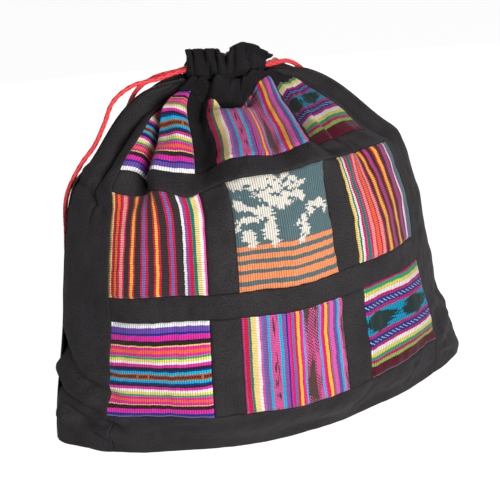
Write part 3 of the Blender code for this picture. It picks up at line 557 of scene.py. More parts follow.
# each cloth: stripe colours with their widths, in any unit, from the stated edge;
# ribs across the patch; patterned stripes as kind, number of the stripe, second colour
cloths = {
    "fineStripes": {
        "stripes": "white 45,purple 60,navy 30,magenta 60,black 54,yellow 10,magenta 40,orange 36,magenta 34,green 30,"
        "yellow 28,white 28,magenta 37,black 35,navy 20,cyan 37,rust 68,cyan 35,navy 25,black 30,magenta 37,"
        "white 38,yellow 28,green 30,magenta 37,orange 30,magenta 40,yellow 12,black 48,magenta 53,navy 37,purple 30",
        "lying": True, "ribs": 45, "patterns": (("dashes", 16, "black"),), "seed": 1,
    },
    "darkStripes": {
        "stripes": "butter 35,crimson 25,charcoal 15,orange 40,charcoal 10,crimson 15,cerise 15,salmon 40,cerise 10,"
        "crimson 10,charcoal 70,crimson 20,gold 30,crimson 20,charcoal 75,crimson 25,blue 35,crimson 30,"
        "charcoal 75,crimson 25,gold 30,crimson 30,charcoal 95,crimson 25,blue 35,crimson 30,charcoal 95,"
        "white 35,plum 40,crimson 50,teal 40,butter 55,white 35,pink 25",
        "lying": False, "ribs": 50, "patterns": (), "seed": 2,
    },
    "ceriseStripes": {
        "stripes": "butter 10,teal 8,white 12,cerise 15,teal 20,cerise 12,salmon 20,cerise 10,orange 20,cerise 10,"
        "salmon 20,cerise 8,charcoal 18,crimson 6,gold 20,crimson 8,charcoal 14,crimson 5,plum 14,crimson 5,"
        "charcoal 20,crimson 8,gold 17,crimson 7,charcoal 20,crimson 6,plum 17,crimson 6,charcoal 8,white 12,"
        "plum 18,teal 22",
        "lying": False, "ribs": 56, "patterns": (), "seed": 6, "dull": 0.80,
    },
    "roseStripes": {
        "stripes": "pink 25,crimson 40,teal 25,butter 50,white 30,pink 20,blue 20,plum 35,cyan 25,rose 30,rose 45,"
        "rose 15,cyan 30,plum 35,navy 20,magenta 15,crimson 20,blue 20,crimson 25,gold 30,crimson 15,magenta 25,"
        "cyan 15,rose 170,cyan 20,magenta 20,crimson 25,gold 35,crimson 15,blue 20,pink 35,violet 45,cyan 25,"
        "pink 20,rose 35",
        "lying": False, "ribs": 62, "seed": 3, "dull": 0.90,
        "patterns": (("spindles", 10, "brown"), ("checks", 23, "umber"), ("spindles", 34, "brown")),
    },
    "turquoiseStripes": {
        "stripes": "maroon 130,lime 35,berry 35,green 35,yellow 35,white 40,berry 30,navy 20,navy 35,navy 20,"
        "berry 30,sea 30,sea 130,sea 30,berry 30,navy 20,navy 35,navy 20,berry 30,white 40,yellow 35,"
        "green 35,berry 20",
        "lying": True, "ribs": 42, "dull": 0.74,
        "patterns": (("twist", 8, "silver"), ("blotches", (11, 13), "bottle"), ("twist", 16, "silver")),
        "seed": 4,
    },
    "ikat": {
        "stripes": "slate 640,coral 40,slate 35,coral 45,slate 40,coral 50,slate 35,coral 60,slate 45,coral 55",
        "lying": True, "ribs": 46, "patterns": (), "seed": 5, "dull": 0.92,
    },
}


def stripeColour(tree, place, stripes):
    # constant colour steps along the place; a ramp holds 32, so longer lists take two
    widths = np.array([width for _, width in stripes], float)
    starts = np.concatenate([[0], np.cumsum(widths)]) / widths.sum()
    half = len(stripes) if len(stripes) <= 31 else len(stripes) // 2
    found = None
    for first, last in ((0, half), (half, len(stripes))):
        if first == last:
            continue
        ramp = addNode(tree, "ValToRGB", {0: place})
        ramp.color_ramp.interpolation = "CONSTANT"
        elements = ramp.color_ramp.elements
        while len(elements) > 1:
            elements.remove(elements[-1])
        elements[0].position = 0
        for k in range(first, last):
            element = elements[0] if k == first else elements.new(starts[k])
            element.color = (*linear(palette[stripes[k][0]]), 1)
        later = ramp.outputs[0]
        found = mixColour(tree, place > float(starts[half]), found, later) if found else later
    return found, starts


# how the patterned stripes are drawn; long and wide set how fine the spots are, least how few
patterns = {
    "dashes": {"reach": 0.27, "ridge": 0.45, "skipped": 0.05},
    "twist": {"reach": 0.5, "slant": 0.42, "dark": 0.70},
    "checks": {"reach": 0.5, "long": 2.4, "wide": 12.0, "least": 0.60, "picks": 64.0, "contrast": 0.20},
    "spindles": {"reach": 0.5, "long": 6.0, "wide": 34.0, "least": 0.53},
    "blotches": {"reach": 0.5, "long": 9.0, "wide": 30.0, "least": 0.0, "pitch": 0.55, "start": 0.03,
                 "ragged": 0.7, "fat": 0.50, "taper": 1.9, "bulge": 1.6, "height": 0.75},
}
# yarns of the weave: threads across a patch, how far they wander, how round the ribs look and how deep the painted
# shade in their valleys is, and how even the threads' tone is
yarn = {
    "threads": 110.0, "jitter": 0.0035, "drift": 0.016, "driftScale": 5.0, "slide": 0.10,
    "roundness": 0.8, "contrast": 0.78, "darkestPaintedShade": 0.28, "uneven": 0.16, "bump": 0.5, "bumpHeight": 0.0002,
}


def spots(tree, look, low, high, first, kind, threads):
    # stretched noise in the stripe, checked by rib and pick or cut to lens shapes at a steady pace
    place, along, thread, rib = (threads[key] for key in ("place", "along", "thread", "rib"))
    slide = randomFrom(tree, "1D", W=thread) * yarn["slide"] + along
    amount = noise(tree, vector(tree, slide * look["long"], place * look["wide"], first), 1.0, 1.0)
    if kind == "checks":
        pick = (place * look["picks"]).calc("FLOOR")
        amount = (rib + pick).calc("MODULO", 2.0) * look["contrast"] + amount
    elif kind == "blotches":
        reach = abs(((slide + look["start"]) / look["pitch"]).calc("FRACT") - 0.5)
        height = abs((place - (low + high) / 2) / ((high - low) / 2))
        lens = reach * look["taper"] + height ** look["bulge"] * look["height"]
        amount = amount * look["ragged"] + look["fat"] - lens
    return amount > look["least"]


def patternMask(tree, kind, low, high, first, threads):
    # 1 where the stripe from low to high shows its second colour
    look, place = patterns[kind], threads["place"]
    within = place.calc("COMPARE", (low + high) / 2, look["reach"] * (high - low))
    if kind == "dashes":
        within = within * (threads["ridge"] > look["ridge"])
        return within * (randomFrom(tree, "1D", W=threads["seeded"] * 3.7) > look["skipped"])
    if kind == "twist":
        slant = (place - low) * (1 / (high - low)) + threads["ribPlace"] * look["slant"]
        return within * (slant.calc("FRACT") > look["dark"])
    return within * spots(tree, look, low, high, first, kind, threads)


def wovenMaterial(name, cloth, fromTop):
    made, tree, shader = newMaterial(name, 0.8, 0.15)
    stripes = [(word.split()[0], float(word.split()[1])) for word in cloth["stripes"].split(",")]
    _, u, v = uvValues(tree)
    place, along = (v, u) if cloth["lying"] else (u, v)
    if fromTop:
        place = place * -1.0 + 1.0
    ribPlace = along * float(cloth["ribs"])
    rib, ridge = ribPlace.calc("FLOOR"), abs((ribPlace * math.pi).calc("SINE"))
    seeded = rib + 17.3 * cloth["seed"]
    slow = noise(tree, vector(tree, along, place, cloth["seed"]), yarn["driftScale"])
    place = place + (randomFrom(tree, "1D", W=seeded) - 0.5) * yarn["jitter"] + (slow - 0.5) * yarn["drift"]
    colour, starts = stripeColour(tree, place, stripes)
    thread = (place * yarn["threads"]).calc("FLOOR")
    threads = {"place": place, "along": along, "ribPlace": ribPlace, "rib": rib, "ridge": ridge,
               "seeded": seeded, "thread": thread}
    for kind, number, second in cloth["patterns"]:
        first, last = number if isinstance(number, tuple) else (number, number)
        mask = patternMask(tree, kind, float(starts[first]), float(starts[last + 1]), first, threads)
        colour = mixColour(tree, mask, colour, palette[second])
    if name == "ikatWeave":
        figure = addNode(tree, "Attribute", attribute_name="figure").outputs["Fac"]
        soft = addNode(tree, "MapRange", {0: figure, 1: 0.35, 2: 0.65}).outputs[0]
        colour = mixColour(tree, soft, colour, palette["cream"])
    grain = randomFrom(tree, "2D", Vector=vector(tree, thread, rib))
    # painted shade: the colour darkens into each rib's valley, over the real rib relief; grain varies each thread's
    # tone at random
    shade = ridge ** yarn["roundness"] * yarn["contrast"] + yarn["darkestPaintedShade"]
    shade = shade * (grain * yarn["uneven"] + (1 - yarn["uneven"] / 2)) * cloth.get("dull", 1.0)
    paintedShadeAndGrain = addNode(tree, "CombineColor", {0: shade, 1: shade, 2: shade}).outputs[0]
    connect(mixColour(tree, 1.0, colour, paintedShadeAndGrain, "MULTIPLY"), shader.inputs["Base Color"])
    fine = abs((place * (yarn["threads"] * math.pi)).calc("SINE"))
    addBump(tree, shader, fine * 0.5 + grain * 0.5, yarn["bump"], yarn["bumpHeight"])
    return made


# black cotton: plain twill, uv in decimetres of cloth; a darker copy of it is painted shade on the upper strips, the
# top band and the ruffle
cotton = {
    "dark": (22, 20, 22), "light": (66, 63, 65), "shadedCottonDark": (12, 11, 12), "shadedCottonLight": (44, 42, 44),
    "sheenTint": (120, 116, 118), "roughness": 0.60, "sheen": 0.03, "specular": 0.05,
    "twillPitch": 0.007, "twillShade": 0.3, "grain": 2.3, "grainScale": 62.0, "patches": 0.5, "patchScale": 3.0,
    "base": 0.15, "bump": 0.6, "bumpHeight": 0.0003,
}


def cottonMaterial(name, dark, light):
    looks = (cotton[key] for key in ("roughness", "sheen", "sheenTint", "specular"))
    made, tree, shader = newMaterial(name, *looks)
    uv, across, along = uvValues(tree)
    twill = abs(((across + along) / cotton["twillPitch"] * math.pi).calc("SINE"))
    grain = noise(tree, uv, cotton["grainScale"], 4.0, 0.85)
    patchy = noise(tree, uv, cotton["patchScale"], 3.0)
    amount = (grain - 0.5) * cotton["grain"] + (patchy * cotton["patches"] + cotton["base"])
    amount = amount * (twill * cotton["twillShade"] + 0.75)
    amount = amount.calc("MAXIMUM", 0.0).calc("MINIMUM", 1.0)
    connect(mixColour(tree, amount, dark, light), shader.inputs["Base Color"])
    addBump(tree, shader, twill * 0.6 + grain * 0.8, cotton["bump"], cotton["bumpHeight"])
    return made


blackCotton = cottonMaterial("blackCotton", cotton["dark"], cotton["light"])
# a darker copy of the black cotton: painted shade for the upper strips, the top band and the ruffle
shadedCotton = cottonMaterial("shadedCotton", cotton["shadedCottonDark"], cotton["shadedCottonLight"])


# cords: braided, one loop each, drawn from knot to knot through the casing
cord = {
    "diameter": 0.0048, "spacing": 0.0056, "clearance": 0.0006, "exitReach": 0.009, "exitAngle": 28,
    "floor": 0.0016, "loopPoints": 19, "step": 0.0011, "strands": 8, "pitch": 0.0095, "relief": 0.00022,
    "tabPlace": 0.045, "tabShare": 0.84, "tabWall": 0.0013, "tabHeight": 0.012, "tabLength": 0.013,
    "tabDepth": 0.0080, "knot": 0.0078, "knotFlatness": 0.9, "belowTab": 0.007,
    "knotReach": (0.00185, 0.00185, 0.0023), "knotRadius": 0.00225, "around": 14,
    # dark and light: the braid's colour in its grooves and on its ridges, where the darker grooves are painted shade
    "dark": (196, 34, 44), "light": (246, 66, 72), "sheenTint": (255, 190, 190),
}
# runs down the back: share of the way across the half back, share of the way up, lift
leftNear = ((0.990, 0.970, 0.004), (0.985, 0.930, 0.008), (0.975, 0.880, 0.009), (0.950, 0.820, 0.004),
            (0.940, 0.760, 0.002), (0.960, 0.700, 0.002), (0.955, 0.620, 0.001), (0.915, 0.510, 0.001),
            (0.885, 0.400, 0.001), (0.870, 0.300, 0.001), (0.860, 0.210, 0.001))
leftFar = ((0.880, 0.960, 0.005), (0.800, 0.905, 0.004), (0.745, 0.840, 0.002), (0.710, 0.770, 0.001),
           (0.680, 0.690, 0.001), (0.665, 0.600, 0.001), (0.670, 0.500, 0.001), (0.700, 0.400, 0.001),
           (0.745, 0.300, 0.001), (0.795, 0.210, 0.001))
rightNear = ((0.880, 0.965, 0.002), (0.785, 0.912, 0.001), (0.715, 0.848, 0.001), (0.690, 0.780, 0.001),
             (0.700, 0.700, 0.001), (0.735, 0.610, 0.001), (0.780, 0.500, 0.001), (0.820, 0.400, 0.001),
             (0.850, 0.300, 0.001), (0.860, 0.210, 0.001))
rightFar = ((0.720, 0.965, 0.003), (0.610, 0.912, 0.002), (0.540, 0.845, 0.001), (0.510, 0.770, 0.001),
            (0.520, 0.690, 0.001), (0.560, 0.600, 0.001), (0.630, 0.500, 0.001), (0.700, 0.400, 0.001),
            (0.750, 0.300, 0.001), (0.795, 0.210, 0.001))


def backFrame(share, up):
    # points of the back's outline with their outward and sideways directions
    share, up, step = np.atleast_1d(share)[:, None], np.atleast_1d(up), 1e-3
    point = envelope(back, share, up)[:, 0]
    along = (envelope(back, share + step, up) - envelope(back, share - step, up))[:, 0]
    climb = (envelope(back, share, up + step) - envelope(back, share, up - step))[:, 0]
    return point, unit(np.cross(climb, along)), unit(along)


def tabFrame(hand):
    point, outward, along = (found[0] for found in backFrame(hand * cord["tabShare"], cord["tabPlace"]))
    return point, outward, along, np.cross(along, outward)


def curveThrough(points, spacing):
    # a smooth curve through the points, its direction at each taken from both neighbours
    places = np.concatenate([[0], np.cumsum(np.linalg.norm(np.diff(points[:, :3], axis=0), axis=1))])
    slopes = np.gradient(points, places, axis=0)
    at = np.linspace(0, places[-1], max(3, round(places[-1] / spacing)) + 1)
    i = np.clip(np.searchsorted(places, at, side="right") - 1, 0, len(places) - 2)
    step = np.diff(places)[i][:, None]
    t = (at - places[i])[:, None] / step
    found = points[i] * (1 + 2 * t) * (1 - t) ** 2 + points[i + 1] * t**2 * (3 - 2 * t)
    return found + step * t * (1 - t) * (slopes[i] * (1 - t) - slopes[i + 1] * t)


def tubeMesh(name, path, side, radius, around=cord["around"]):
    # rings square to the path; braid ridges wind both ways round it; ends closed to a point
    forward = unit(np.gradient(path, axis=0))
    side = unit(side - forward * (side * forward).sum(1, keepdims=True))
    across = np.cross(forward, side)
    along = np.concatenate([[0], np.cumsum(np.linalg.norm(np.diff(path, axis=0), axis=1))])[:, None]
    turn = np.linspace(0, 2 * math.pi, around, endpoint=False)[None]
    radius = np.broadcast_to(radius, (len(path),))[:, None]
    wind, strand = 2 * math.pi * along / cord["pitch"], cord["strands"] / 2 * turn
    braid = cord["relief"] * (np.maximum(np.cos(strand + wind), np.cos(strand - wind)) - 0.5)
    ring = np.cos(turn)[..., None] * side[:, None] + np.sin(turn)[..., None] * across[:, None]
    points = path[:, None] + (radius + braid)[..., None] * ring
    tip = forward * radius * 0.4
    ends = [np.broadcast_to(end, (1, around, 3)) for end in (path[0] - tip[0], path[-1] + tip[-1])]
    points = np.concatenate([ends[0], points, ends[1]])
    level = np.concatenate([along[:1], along, along[-1:]])
    uv = np.stack(np.broadcast_arrays(np.linspace(0, 1, around + 1)[None], level / 0.1), -1)
    return gridMesh(name, points, uv, ring=True), float(along[-1, 0])


def cordMaterial():
    made, tree, shader = newMaterial("redCord", 0.55, 0.15, cord["sheenTint"], 0.3)
    _, across, along = uvValues(tree)
    wind, turn = along * (0.1 / cord["pitch"] * 2 * math.pi), across * (cord["strands"] * math.pi)
    height = (turn + wind).calc("COSINE").calc("MAXIMUM", (turn - wind).calc("COSINE"))
    fuzz = noise(tree, vector(tree, across * 4.0, along * 60.0), 3.0)
    # darker in the grooves between the strands and lighter on their ridges: painted shade, with random fuzz in the
    # yarn's tone
    light = addNode(tree, "MapRange", {0: fuzz * 0.8 + height, 1: -0.2, 2: 1.2}).outputs[0]
    connect(mixColour(tree, light, cord["dark"], cord["light"]), shader.inputs["Base Color"])
    addBump(tree, shader, fuzz * 0.6 + height, 0.5, 0.0003)
    return made


redCord = cordMaterial()


def cordRoute(hand, height, nearRun, farRun):
    # the CAD's own route: knot, tab, up the back, round the neck, down again, tab, knot
    point, outward, along, climb = tabFrame(hand)
    eye = point + outward * (bag["gap"] + cord["tabWall"] + cord["tabDepth"] / 2)
    drop = cord["tabHeight"] / 2 + cord["belowTab"] + cord["knotFlatness"] * cord["knot"]
    knot = point + outward * (cord["knot"] + 2 * bag["gap"]) - climb * drop
    side = along * hand * cord["spacing"] / 2
    stages = np.array([eye + climb * cord["tabHeight"] * 0.7, eye - climb * cord["tabHeight"] * 0.4,
                       knot + climb * (cord["knotFlatness"] * cord["knot"] - 0.001)])
    route, facing = [], []
    for run, gap in ((nearRun, -1), (farRun, 1)):
        share, up, lift = np.array(run).T
        points, out, _ = backFrame(hand * share, up * clothUp)
        points = points + out * (cord["diameter"] / 2 + cord["clearance"] + lift)[:, None]
        exitPoint = (hand * (neck["halfWidth"] + cord["exitReach"]), neck["back"] + gap * cord["spacing"] / 2,
                     neckHeight + height - 0.001)
        route.append(np.concatenate([[exitPoint], points, stages - gap * side]))
        facing.append(np.concatenate([[[0.3 * hand, 0, 1]], out, [outward] * 3]))
    leave, count = math.radians(cord["exitAngle"]), cord["loopPoints"]
    angle = np.linspace(math.pi + leave, 3 * math.pi - leave, count)
    loop = np.stack([-hand * neck["halfWidth"] * np.cos(angle), neck["back"] + neck["halfDepth"] * np.sin(angle),
                     np.full(count, neckHeight + height)], -1)
    points = np.concatenate([route[0][::-1], loop, route[1]])
    facing = np.concatenate([facing[0][::-1], [[0, 0, 1]] * count, facing[1]])
    both = curveThrough(np.concatenate([points, facing], 1), cord["step"])
    return both[:, :3], both[:, 3:], knot, outward, np.stack([along, climb, outward])


def makeKnot(word, knot, outward, axes):
    # a trefoil wound from the same cord, with two short tails
    t = np.linspace(0, 2 * math.pi, 161)
    wound = np.stack([np.sin(t) + 2 * np.sin(2 * t), np.cos(t) - 2 * np.cos(2 * t), -np.sin(3 * t)], -1)
    path = knot + wound * cord["knotReach"] @ axes
    side = np.broadcast_to(outward, path.shape) + 0.5 * unit(path - knot)
    mesh, _ = tubeMesh("knot", path, side, cord["knotRadius"], 12)
    piece = addPiece("tied_" + word, mesh, redCord, ["knot_" + word])
    for number, sign in enumerate((-1, 1)):
        tail = np.array([(0.0, -0.002, 0.0), (sign * 0.0012, -0.007, 0.0004), (sign * 0.0030, -0.013, 0.0003),
                         (sign * 0.0038, -0.0165, 0.0)])
        path = curveThrough(knot + tail @ axes, 0.0009)
        size = np.interp(np.linspace(0, 1, len(path)), (0, 0.75, 0.9, 1), (0.9, 0.95, 1.12, 1.0))
        mesh, _ = tubeMesh("tail", path, np.broadcast_to(outward, path.shape), cord["diameter"] / 2 * size)
        addPiece(f"tail_{word}_{number + 1}", mesh, redCord, []).parent = piece
    return piece


def makeCord(word, hand, height, nearRun, farRun):
    path, facing, knot, outward, axes = cordRoute(hand, height, nearRun, farRun)
    mesh, length = tubeMesh("cord_" + word + "_braid", path, facing, cord["diameter"] / 2 - 0.0001)
    obj = addPiece("braid_" + word, mesh, redCord, ["cord_" + word])
    knotPiece = makeKnot(word, knot, outward, axes)
    tuple(path[0] + bag["moved"])
    [tuple(p) for p in path + bag["moved"]]
    print("cord", word, round(length, 4))


channelFloor = cord["diameter"] / 2 + cord["floor"]
makeCord("right", 1, channelFloor, rightNear, rightFar)
makeCord("left", -1, channelFloor + cord["spacing"], leftNear, leftFar)


# patches: cloth, whether its stripes are listed from the top, and the CAD slot
patches = {
    "lower_left": ("fineStripes", True, "stripe_weave"), "middle_left": ("darkStripes", False, "red_weave"),
    "upper_left": ("fineStripes", False, "stripe_weave"), "lower_centre": ("roseStripes", False, "rose_weave"),
    "middle_centre": ("ikat", True, "ikat_weave"), "upper_centre": ("roseStripes", False, "rose_weave"),
    "lower_right": ("turquoiseStripes", False, "turquoise_weave"), "middle_right": ("ceriseStripes", False, "red_weave"),
    "upper_right": ("turquoiseStripes", False, "turquoise_weave"),
}
weave = {
    "ribHeight": 0.00022, "ribMiddle": 0.6, "samples": 5, "figureCount": 150,
    "slip": 0.010, "slide": 0.022, "wefts": 80, "ragged": 0.004,
}
rowsOf = {"lower": 1, "middle": 3, "upper": 5}
columnsOf = {"left": -outerSeam, "centre": -patchHalf, "right": innerSeam}

# the light figure of the ikat cloth: centre and half size in shares of the patch, v from the top
lightShapes = (
    (0.16, 0.05, 0.17, 0.075), (0.37, 0.12, 0.17, 0.12), (0.45, 0.24, 0.17, 0.10), (0.62, 0.17, 0.10, 0.11),
    (0.69, 0.25, 0.05, 0.05), (0.73, 0.135, 0.055, 0.022), (0.585, 0.03, 0.045, 0.05), (0.08, 0.26, 0.06, 0.06),
    (0.18, 0.315, 0.10, 0.030), (0.30, 0.35, 0.08, 0.045), (0.14, 0.40, 0.14, 0.028), (0.34, 0.42, 0.035, 0.10),
    (0.34, 0.52, 0.07, 0.08), (0.365, 0.60, 0.035, 0.045), (0.14, 0.535, 0.07, 0.055), (0.15, 0.60, 0.045, 0.035),
    (0.03, 0.455, 0.03, 0.03), (0.68, 0.47, 0.035, 0.07), (0.685, 0.54, 0.055, 0.04), (0.625, 0.61, 0.035, 0.035),
    (0.615, 0.48, 0.025, 0.02), (0.77, 0.39, 0.05, 0.055), (0.875, 0.37, 0.065, 0.04), (0.93, 0.40, 0.028, 0.06),
)
darkShapes = (
    (0.165, 0.095, 0.04, 0.02), (0.26, 0.165, 0.045, 0.018), (0.415, 0.07, 0.025, 0.016), (0.535, 0.10, 0.045, 0.02),
    (0.635, 0.13, 0.025, 0.018), (0.385, 0.135, 0.04, 0.016), (0.525, 0.17, 0.05, 0.02), (0.62, 0.20, 0.04, 0.016),
    (0.455, 0.21, 0.05, 0.02), (0.585, 0.27, 0.045, 0.016), (0.16, 0.215, 0.07, 0.035), (0.24, 0.265, 0.06, 0.035),
    (0.06, 0.15, 0.06, 0.035), (0.10, 0.34, 0.08, 0.018), (0.21, 0.43, 0.08, 0.016), (0.11, 0.465, 0.07, 0.016),
    (0.225, 0.51, 0.035, 0.035), (0.31, 0.29, 0.03, 0.025), (0.385, 0.33, 0.025, 0.02), (0.70, 0.18, 0.03, 0.02),
    (0.82, 0.40, 0.025, 0.018),
)


def figureValue(u, v):
    # ellipses joined, dark ones cut out; each rib's threads slipped a little when dyed
    rib = np.floor(u * cloths["ikat"]["ribs"]).astype(int)
    slip = np.random.default_rng(9).normal(0, weave["slip"], 64)[rib % 64]
    slide = np.random.default_rng(12).normal(0, weave["slide"], 90)[np.floor(v * weave["wefts"]).astype(int) % 90]
    ragged = 0.35 * waves(u, v * 0.6, 14, 0.05) + 0.25 * waves(u * 3, v, 15, 0.03)
    u, v = u + weave["ragged"] * ragged + slide, v + slip

    def nearest(shapes):
        away = [np.hypot((u - a) / p, (v - b) / q) for a, b, p, q in shapes]
        return 1.6 - 1.6 * np.min(away, 0) ** 1.3

    return np.clip(0.5 + np.minimum(nearest(lightShapes) + 0.3 * ragged, 0.35 * ragged - nearest(darkShapes)), 0, 1)


def lines(low, high, count):
    found = np.linspace(low, high, count + 1)
    found[0] += bag["seam"] / 2
    found[-1] -= bag["seam"] / 2
    return found


def makePatch(place):
    clothName, fromTop, slot = patches[place]
    cloth = cloths[clothName]
    row, column = place.split("_")
    left, low, size = columnsOf[column], seamUps[rowsOf[row]], bag["patch"]
    fineCount, coarseCount = cloth["ribs"] * weave["samples"], round(size / detail["patch"])
    if clothName == "ikat":
        coarseCount = weave["figureCount"]
    counts = (fineCount, coarseCount) if cloth["lying"] else (coarseCount, fineCount)
    across, up = lines(left, left + size, counts[0]), lines(low, low + size, counts[1])
    points, outward = clothPoints(front, across, up)
    uv = np.stack(np.meshgrid((across - left) / size, (up - low) / size), -1)
    ribShare = uv[..., 0 if cloth["lying"] else 1] * cloth["ribs"]
    ridge = weave["ribHeight"] * (np.abs(np.sin(ribShare * math.pi)) - weave["ribMiddle"])
    points = points + outward * ridge[..., None]
    mesh = gridMesh("cloth", points, uv)
    if clothName == "ikat":
        attribute = mesh.attributes.new("figure", "FLOAT", "POINT")
        attribute.data.foreach_set("value", figureValue(uv[..., 0], 1 - uv[..., 1]).astype(np.float32).ravel())
    key = clothName + ("Down" if fromTop else "")
    if key not in woven:
        woven[key] = wovenMaterial("ikatWeave" if clothName == "ikat" else key, cloth, fromTop)
    addPiece("woven_" + place, mesh, woven[key], ["patch_" + place], bag["cloth"])


woven = {}
for place in patches:
    makePatch(place)
print("patches woven")


# black cotton pieces
def makeCotton(name, side, left, right, low, high, size, material=blackCotton):
    across = lines(left, right, round((right - left) / size))
    up = lines(low, high, max(8, round((high - low) / size)))
    points, _ = clothPoints(side, across, up)
    uv = np.stack(np.meshgrid(across / 0.1, up / 0.1), -1)
    piece = "cotton_back" if side == back else "cotton_" + name
    addPiece(piece, gridMesh("cloth", points, uv, flip=side == back), material, [name], bag["cloth"])


# the upper strips and the top band take the darker cotton, which is painted shade
for row, first in rowsOf.items():
    for word, sign in (("left", -1), ("right", 1)):
        left, right = sorted((sign * patchHalf, sign * innerSeam))
        makeCotton(f"strip_{row}_{word}", front, left, right, seamUps[first], seamUps[first + 1],
                   detail["seen"], shadedCotton if row == "upper" else blackCotton)
for name, first in (("hem_band", 0), ("band_lower", 2), ("band_upper", 4), ("top_band", 6)):
    makeCotton(name, front, -outerSeam, outerSeam, seamUps[first], seamUps[first + 1],
               detail["seen"], shadedCotton if first == 6 else blackCotton)
makeCotton("border_left", front, -panelHalf, -outerSeam, 0, clothUp, detail["border"])
makeCotton("border_right", front, outerSeam, panelHalf, 0, clothUp, detail["border"])
makeCotton("back_panel", back, -panelHalf, panelHalf, 0, clothUp, detail["back"])
print("cotton sewn")


# the casing and its ruffle; places run in degrees from the right end over the back to the front
ruffle = {
    "places": (0, 22, 60, 90, 120, 158, 180, 202, 225, 250, 262, 273, 284, 300, 318, 335, 360),
    "heights": (13, 14, 18, 18, 18, 22, 28, 31, 32, 31, 21, 31, 34.5, 30, 21, 15, 13),
    "flares": (8, 6, -6, -9, -8, 0, 3, 4, 5, 3, 0, 5, 8, 10, 11, 12, 9),
    "tube": 15, "uneven": 2.2, "valley": 262, "tubeDepth": 0.0078, "lowest": 0.0010, "valleyDrop": 0.14,
    "fanStart": 8, "fanFade": 12, "fanCalm": 0.80, "fanLevel": 0.65, "sideShare": 0.35,
    "tight": 13, "tightSway": 1.4, "tightDepth": 0.0068, "tightPlace": 0.32, "tightReach": 0.26,
    "columns": 440, "rows": 0.0010,
}
# the casing's section from the channel to the folded edge: distance from its middle, height
channelReach = neck["channel"] - bag["cloth"] / 2
casingSection = (
    (channelReach, 0.0004), (channelReach, 0.006), (channelReach - 0.0010, 0.0105), (0.0028, 0.015),
    (neck["fold"], 0.019), (neck["fold"], 0.024), (0.0013, 0.0265), (0, neck["height"]),
)


def casingTubes(angles):
    # rounded tubes with sharp valleys between them, a little uneven in width
    degrees = np.degrees(angles) % 360 - ruffle["valley"]
    uneven = ruffle["uneven"] * np.sin(np.radians(5 * degrees))
    tubes = np.abs(np.sin(math.pi * (degrees + uneven) / ruffle["tube"]))
    # the fan right of the deep valley has shallower ones
    fan = ruffle["fanCalm"] * smoothStep((degrees - ruffle["fanStart"]) / ruffle["fanFade"])
    return tubes * (1 - fan) + ruffle["fanLevel"] * fan


def casingLine(angles, share):
    # an ellipse that flares with height, with tight gathers at the cord and wide tubes above
    degrees = np.degrees(angles) % 360
    flare = 0.001 * smoothThrough(degrees, ruffle["places"], ruffle["flares"]) * share**1.6
    shown = ruffle["sideShare"] + (1 - ruffle["sideShare"]) * np.sin(angles) ** 2
    deep = ruffle["lowest"] + (ruffle["tubeDepth"] - ruffle["lowest"]) * smoothStep((share - 0.15) / 0.6)
    tubes = deep * (2 * casingTubes(angles) - 1.2)
    swayed = ruffle["tight"] * angles + ruffle["tightSway"] * np.sin(7 * angles)
    tight = ruffle["tightDepth"] * bell((share - ruffle["tightPlace"]) / ruffle["tightReach"])
    tight = tight * (2 * np.abs(np.sin(swayed)) - 1.3)
    out = flare + (tubes + tight) * shown
    x = (neck["halfWidth"] + out) * np.cos(angles)
    return np.stack([x, neck["back"] + (neck["halfDepth"] + out) * np.sin(angles)], -1)


def makeCasing(name, node, start):
    # the folded cloth's section carried round the neck, lower in each valley than on the tubes
    slit = math.asin(neck["slit"] / neck["halfDepth"])
    angles = np.linspace(start + slit, start + math.pi - slit, ruffle["columns"] + 1)
    tall = 0.001 * smoothThrough(np.degrees(angles) % 360, ruffle["places"], ruffle["heights"])
    tall = tall * (1 - ruffle["valleyDrop"] * (1 - casingTubes(angles)) ** 2)
    rows = curveThrough(np.array([(*knot, 0.0) for knot in casingSection]), ruffle["rows"])[:, :2]
    rows = np.concatenate([rows, (rows * [-1, 1])[-2::-1]])
    grid, step = [], 1e-3
    for distance, level in rows:
        share = level / neck["height"]
        line = casingLine(angles, share)
        tangent = casingLine(angles + step, share) - casingLine(angles - step, share)
        outward = unit(np.stack([tangent[:, 1], -tangent[:, 0]], -1))
        raised = level + (tall - neck["height"]) * smoothStep((share - 0.25) / 0.75)
        line = line + outward * (distance + np.sign(distance) * bag["cloth"] / 2)
        grid.append(np.concatenate([line, neckHeight + raised[:, None]], 1))
    grid = np.array(grid)
    uv = np.stack(np.meshgrid(angles * 1.66, np.linspace(0, 0.7, len(grid))), -1)
    # the ruffle takes the darker cotton, which is painted shade
    addPiece(name, gridMesh("casing", grid, uv), shadedCotton, [node], bag["cloth"])


makeCasing("ruffle_front", "casing_front", math.pi)
makeCasing("ruffle_back", "casing_back", 0.0)
print("ruffle gathered")


# the base's section from its rim inwards: distance from the cloth's outer face, height
baseWall, baseRim = 0.0011, bag["bottom"] - bag["gap"]
baseSection = (
    (0.0034, baseRim), (0.0026, 0.0048), (0.0023, 0.0034), (0.0025, 0.0018), (0.0032, 0.0006),
    (0.0045, 0.0001), (0.007, 0.0), (0.012, 0.0), (0.03, 0.0), (0.06, 0.0), (0.085, 0.0),
)


def makeBase():
    across, low = np.linspace(-panelHalf, panelHalf, 181), np.array([0.0])
    halves = [outlinePoints(front, across, low)[0, :-1], outlinePoints(back, across, low)[0, :0:-1]]
    ring = np.concatenate(halves)[:, :2]
    middle = ring.mean(0)
    reach = np.linalg.norm(ring - middle, axis=1, keepdims=True)
    rows = [np.concatenate([middle + (ring - middle) * (1 - gap / reach), np.full((len(ring), 1), height)], 1)
            for gap, height in baseSection]
    rows.append(np.concatenate([np.broadcast_to(middle, ring.shape), np.zeros((len(ring), 1))], 1))
    points = np.array(rows)
    uv = points[..., :2] / 0.1
    mesh = gridMesh("base", points, np.concatenate([uv, uv[:, :1]], 1), ring=True, flip=True)
    addPiece("cotton_base", mesh, blackCotton, ["base_panel"], baseWall)


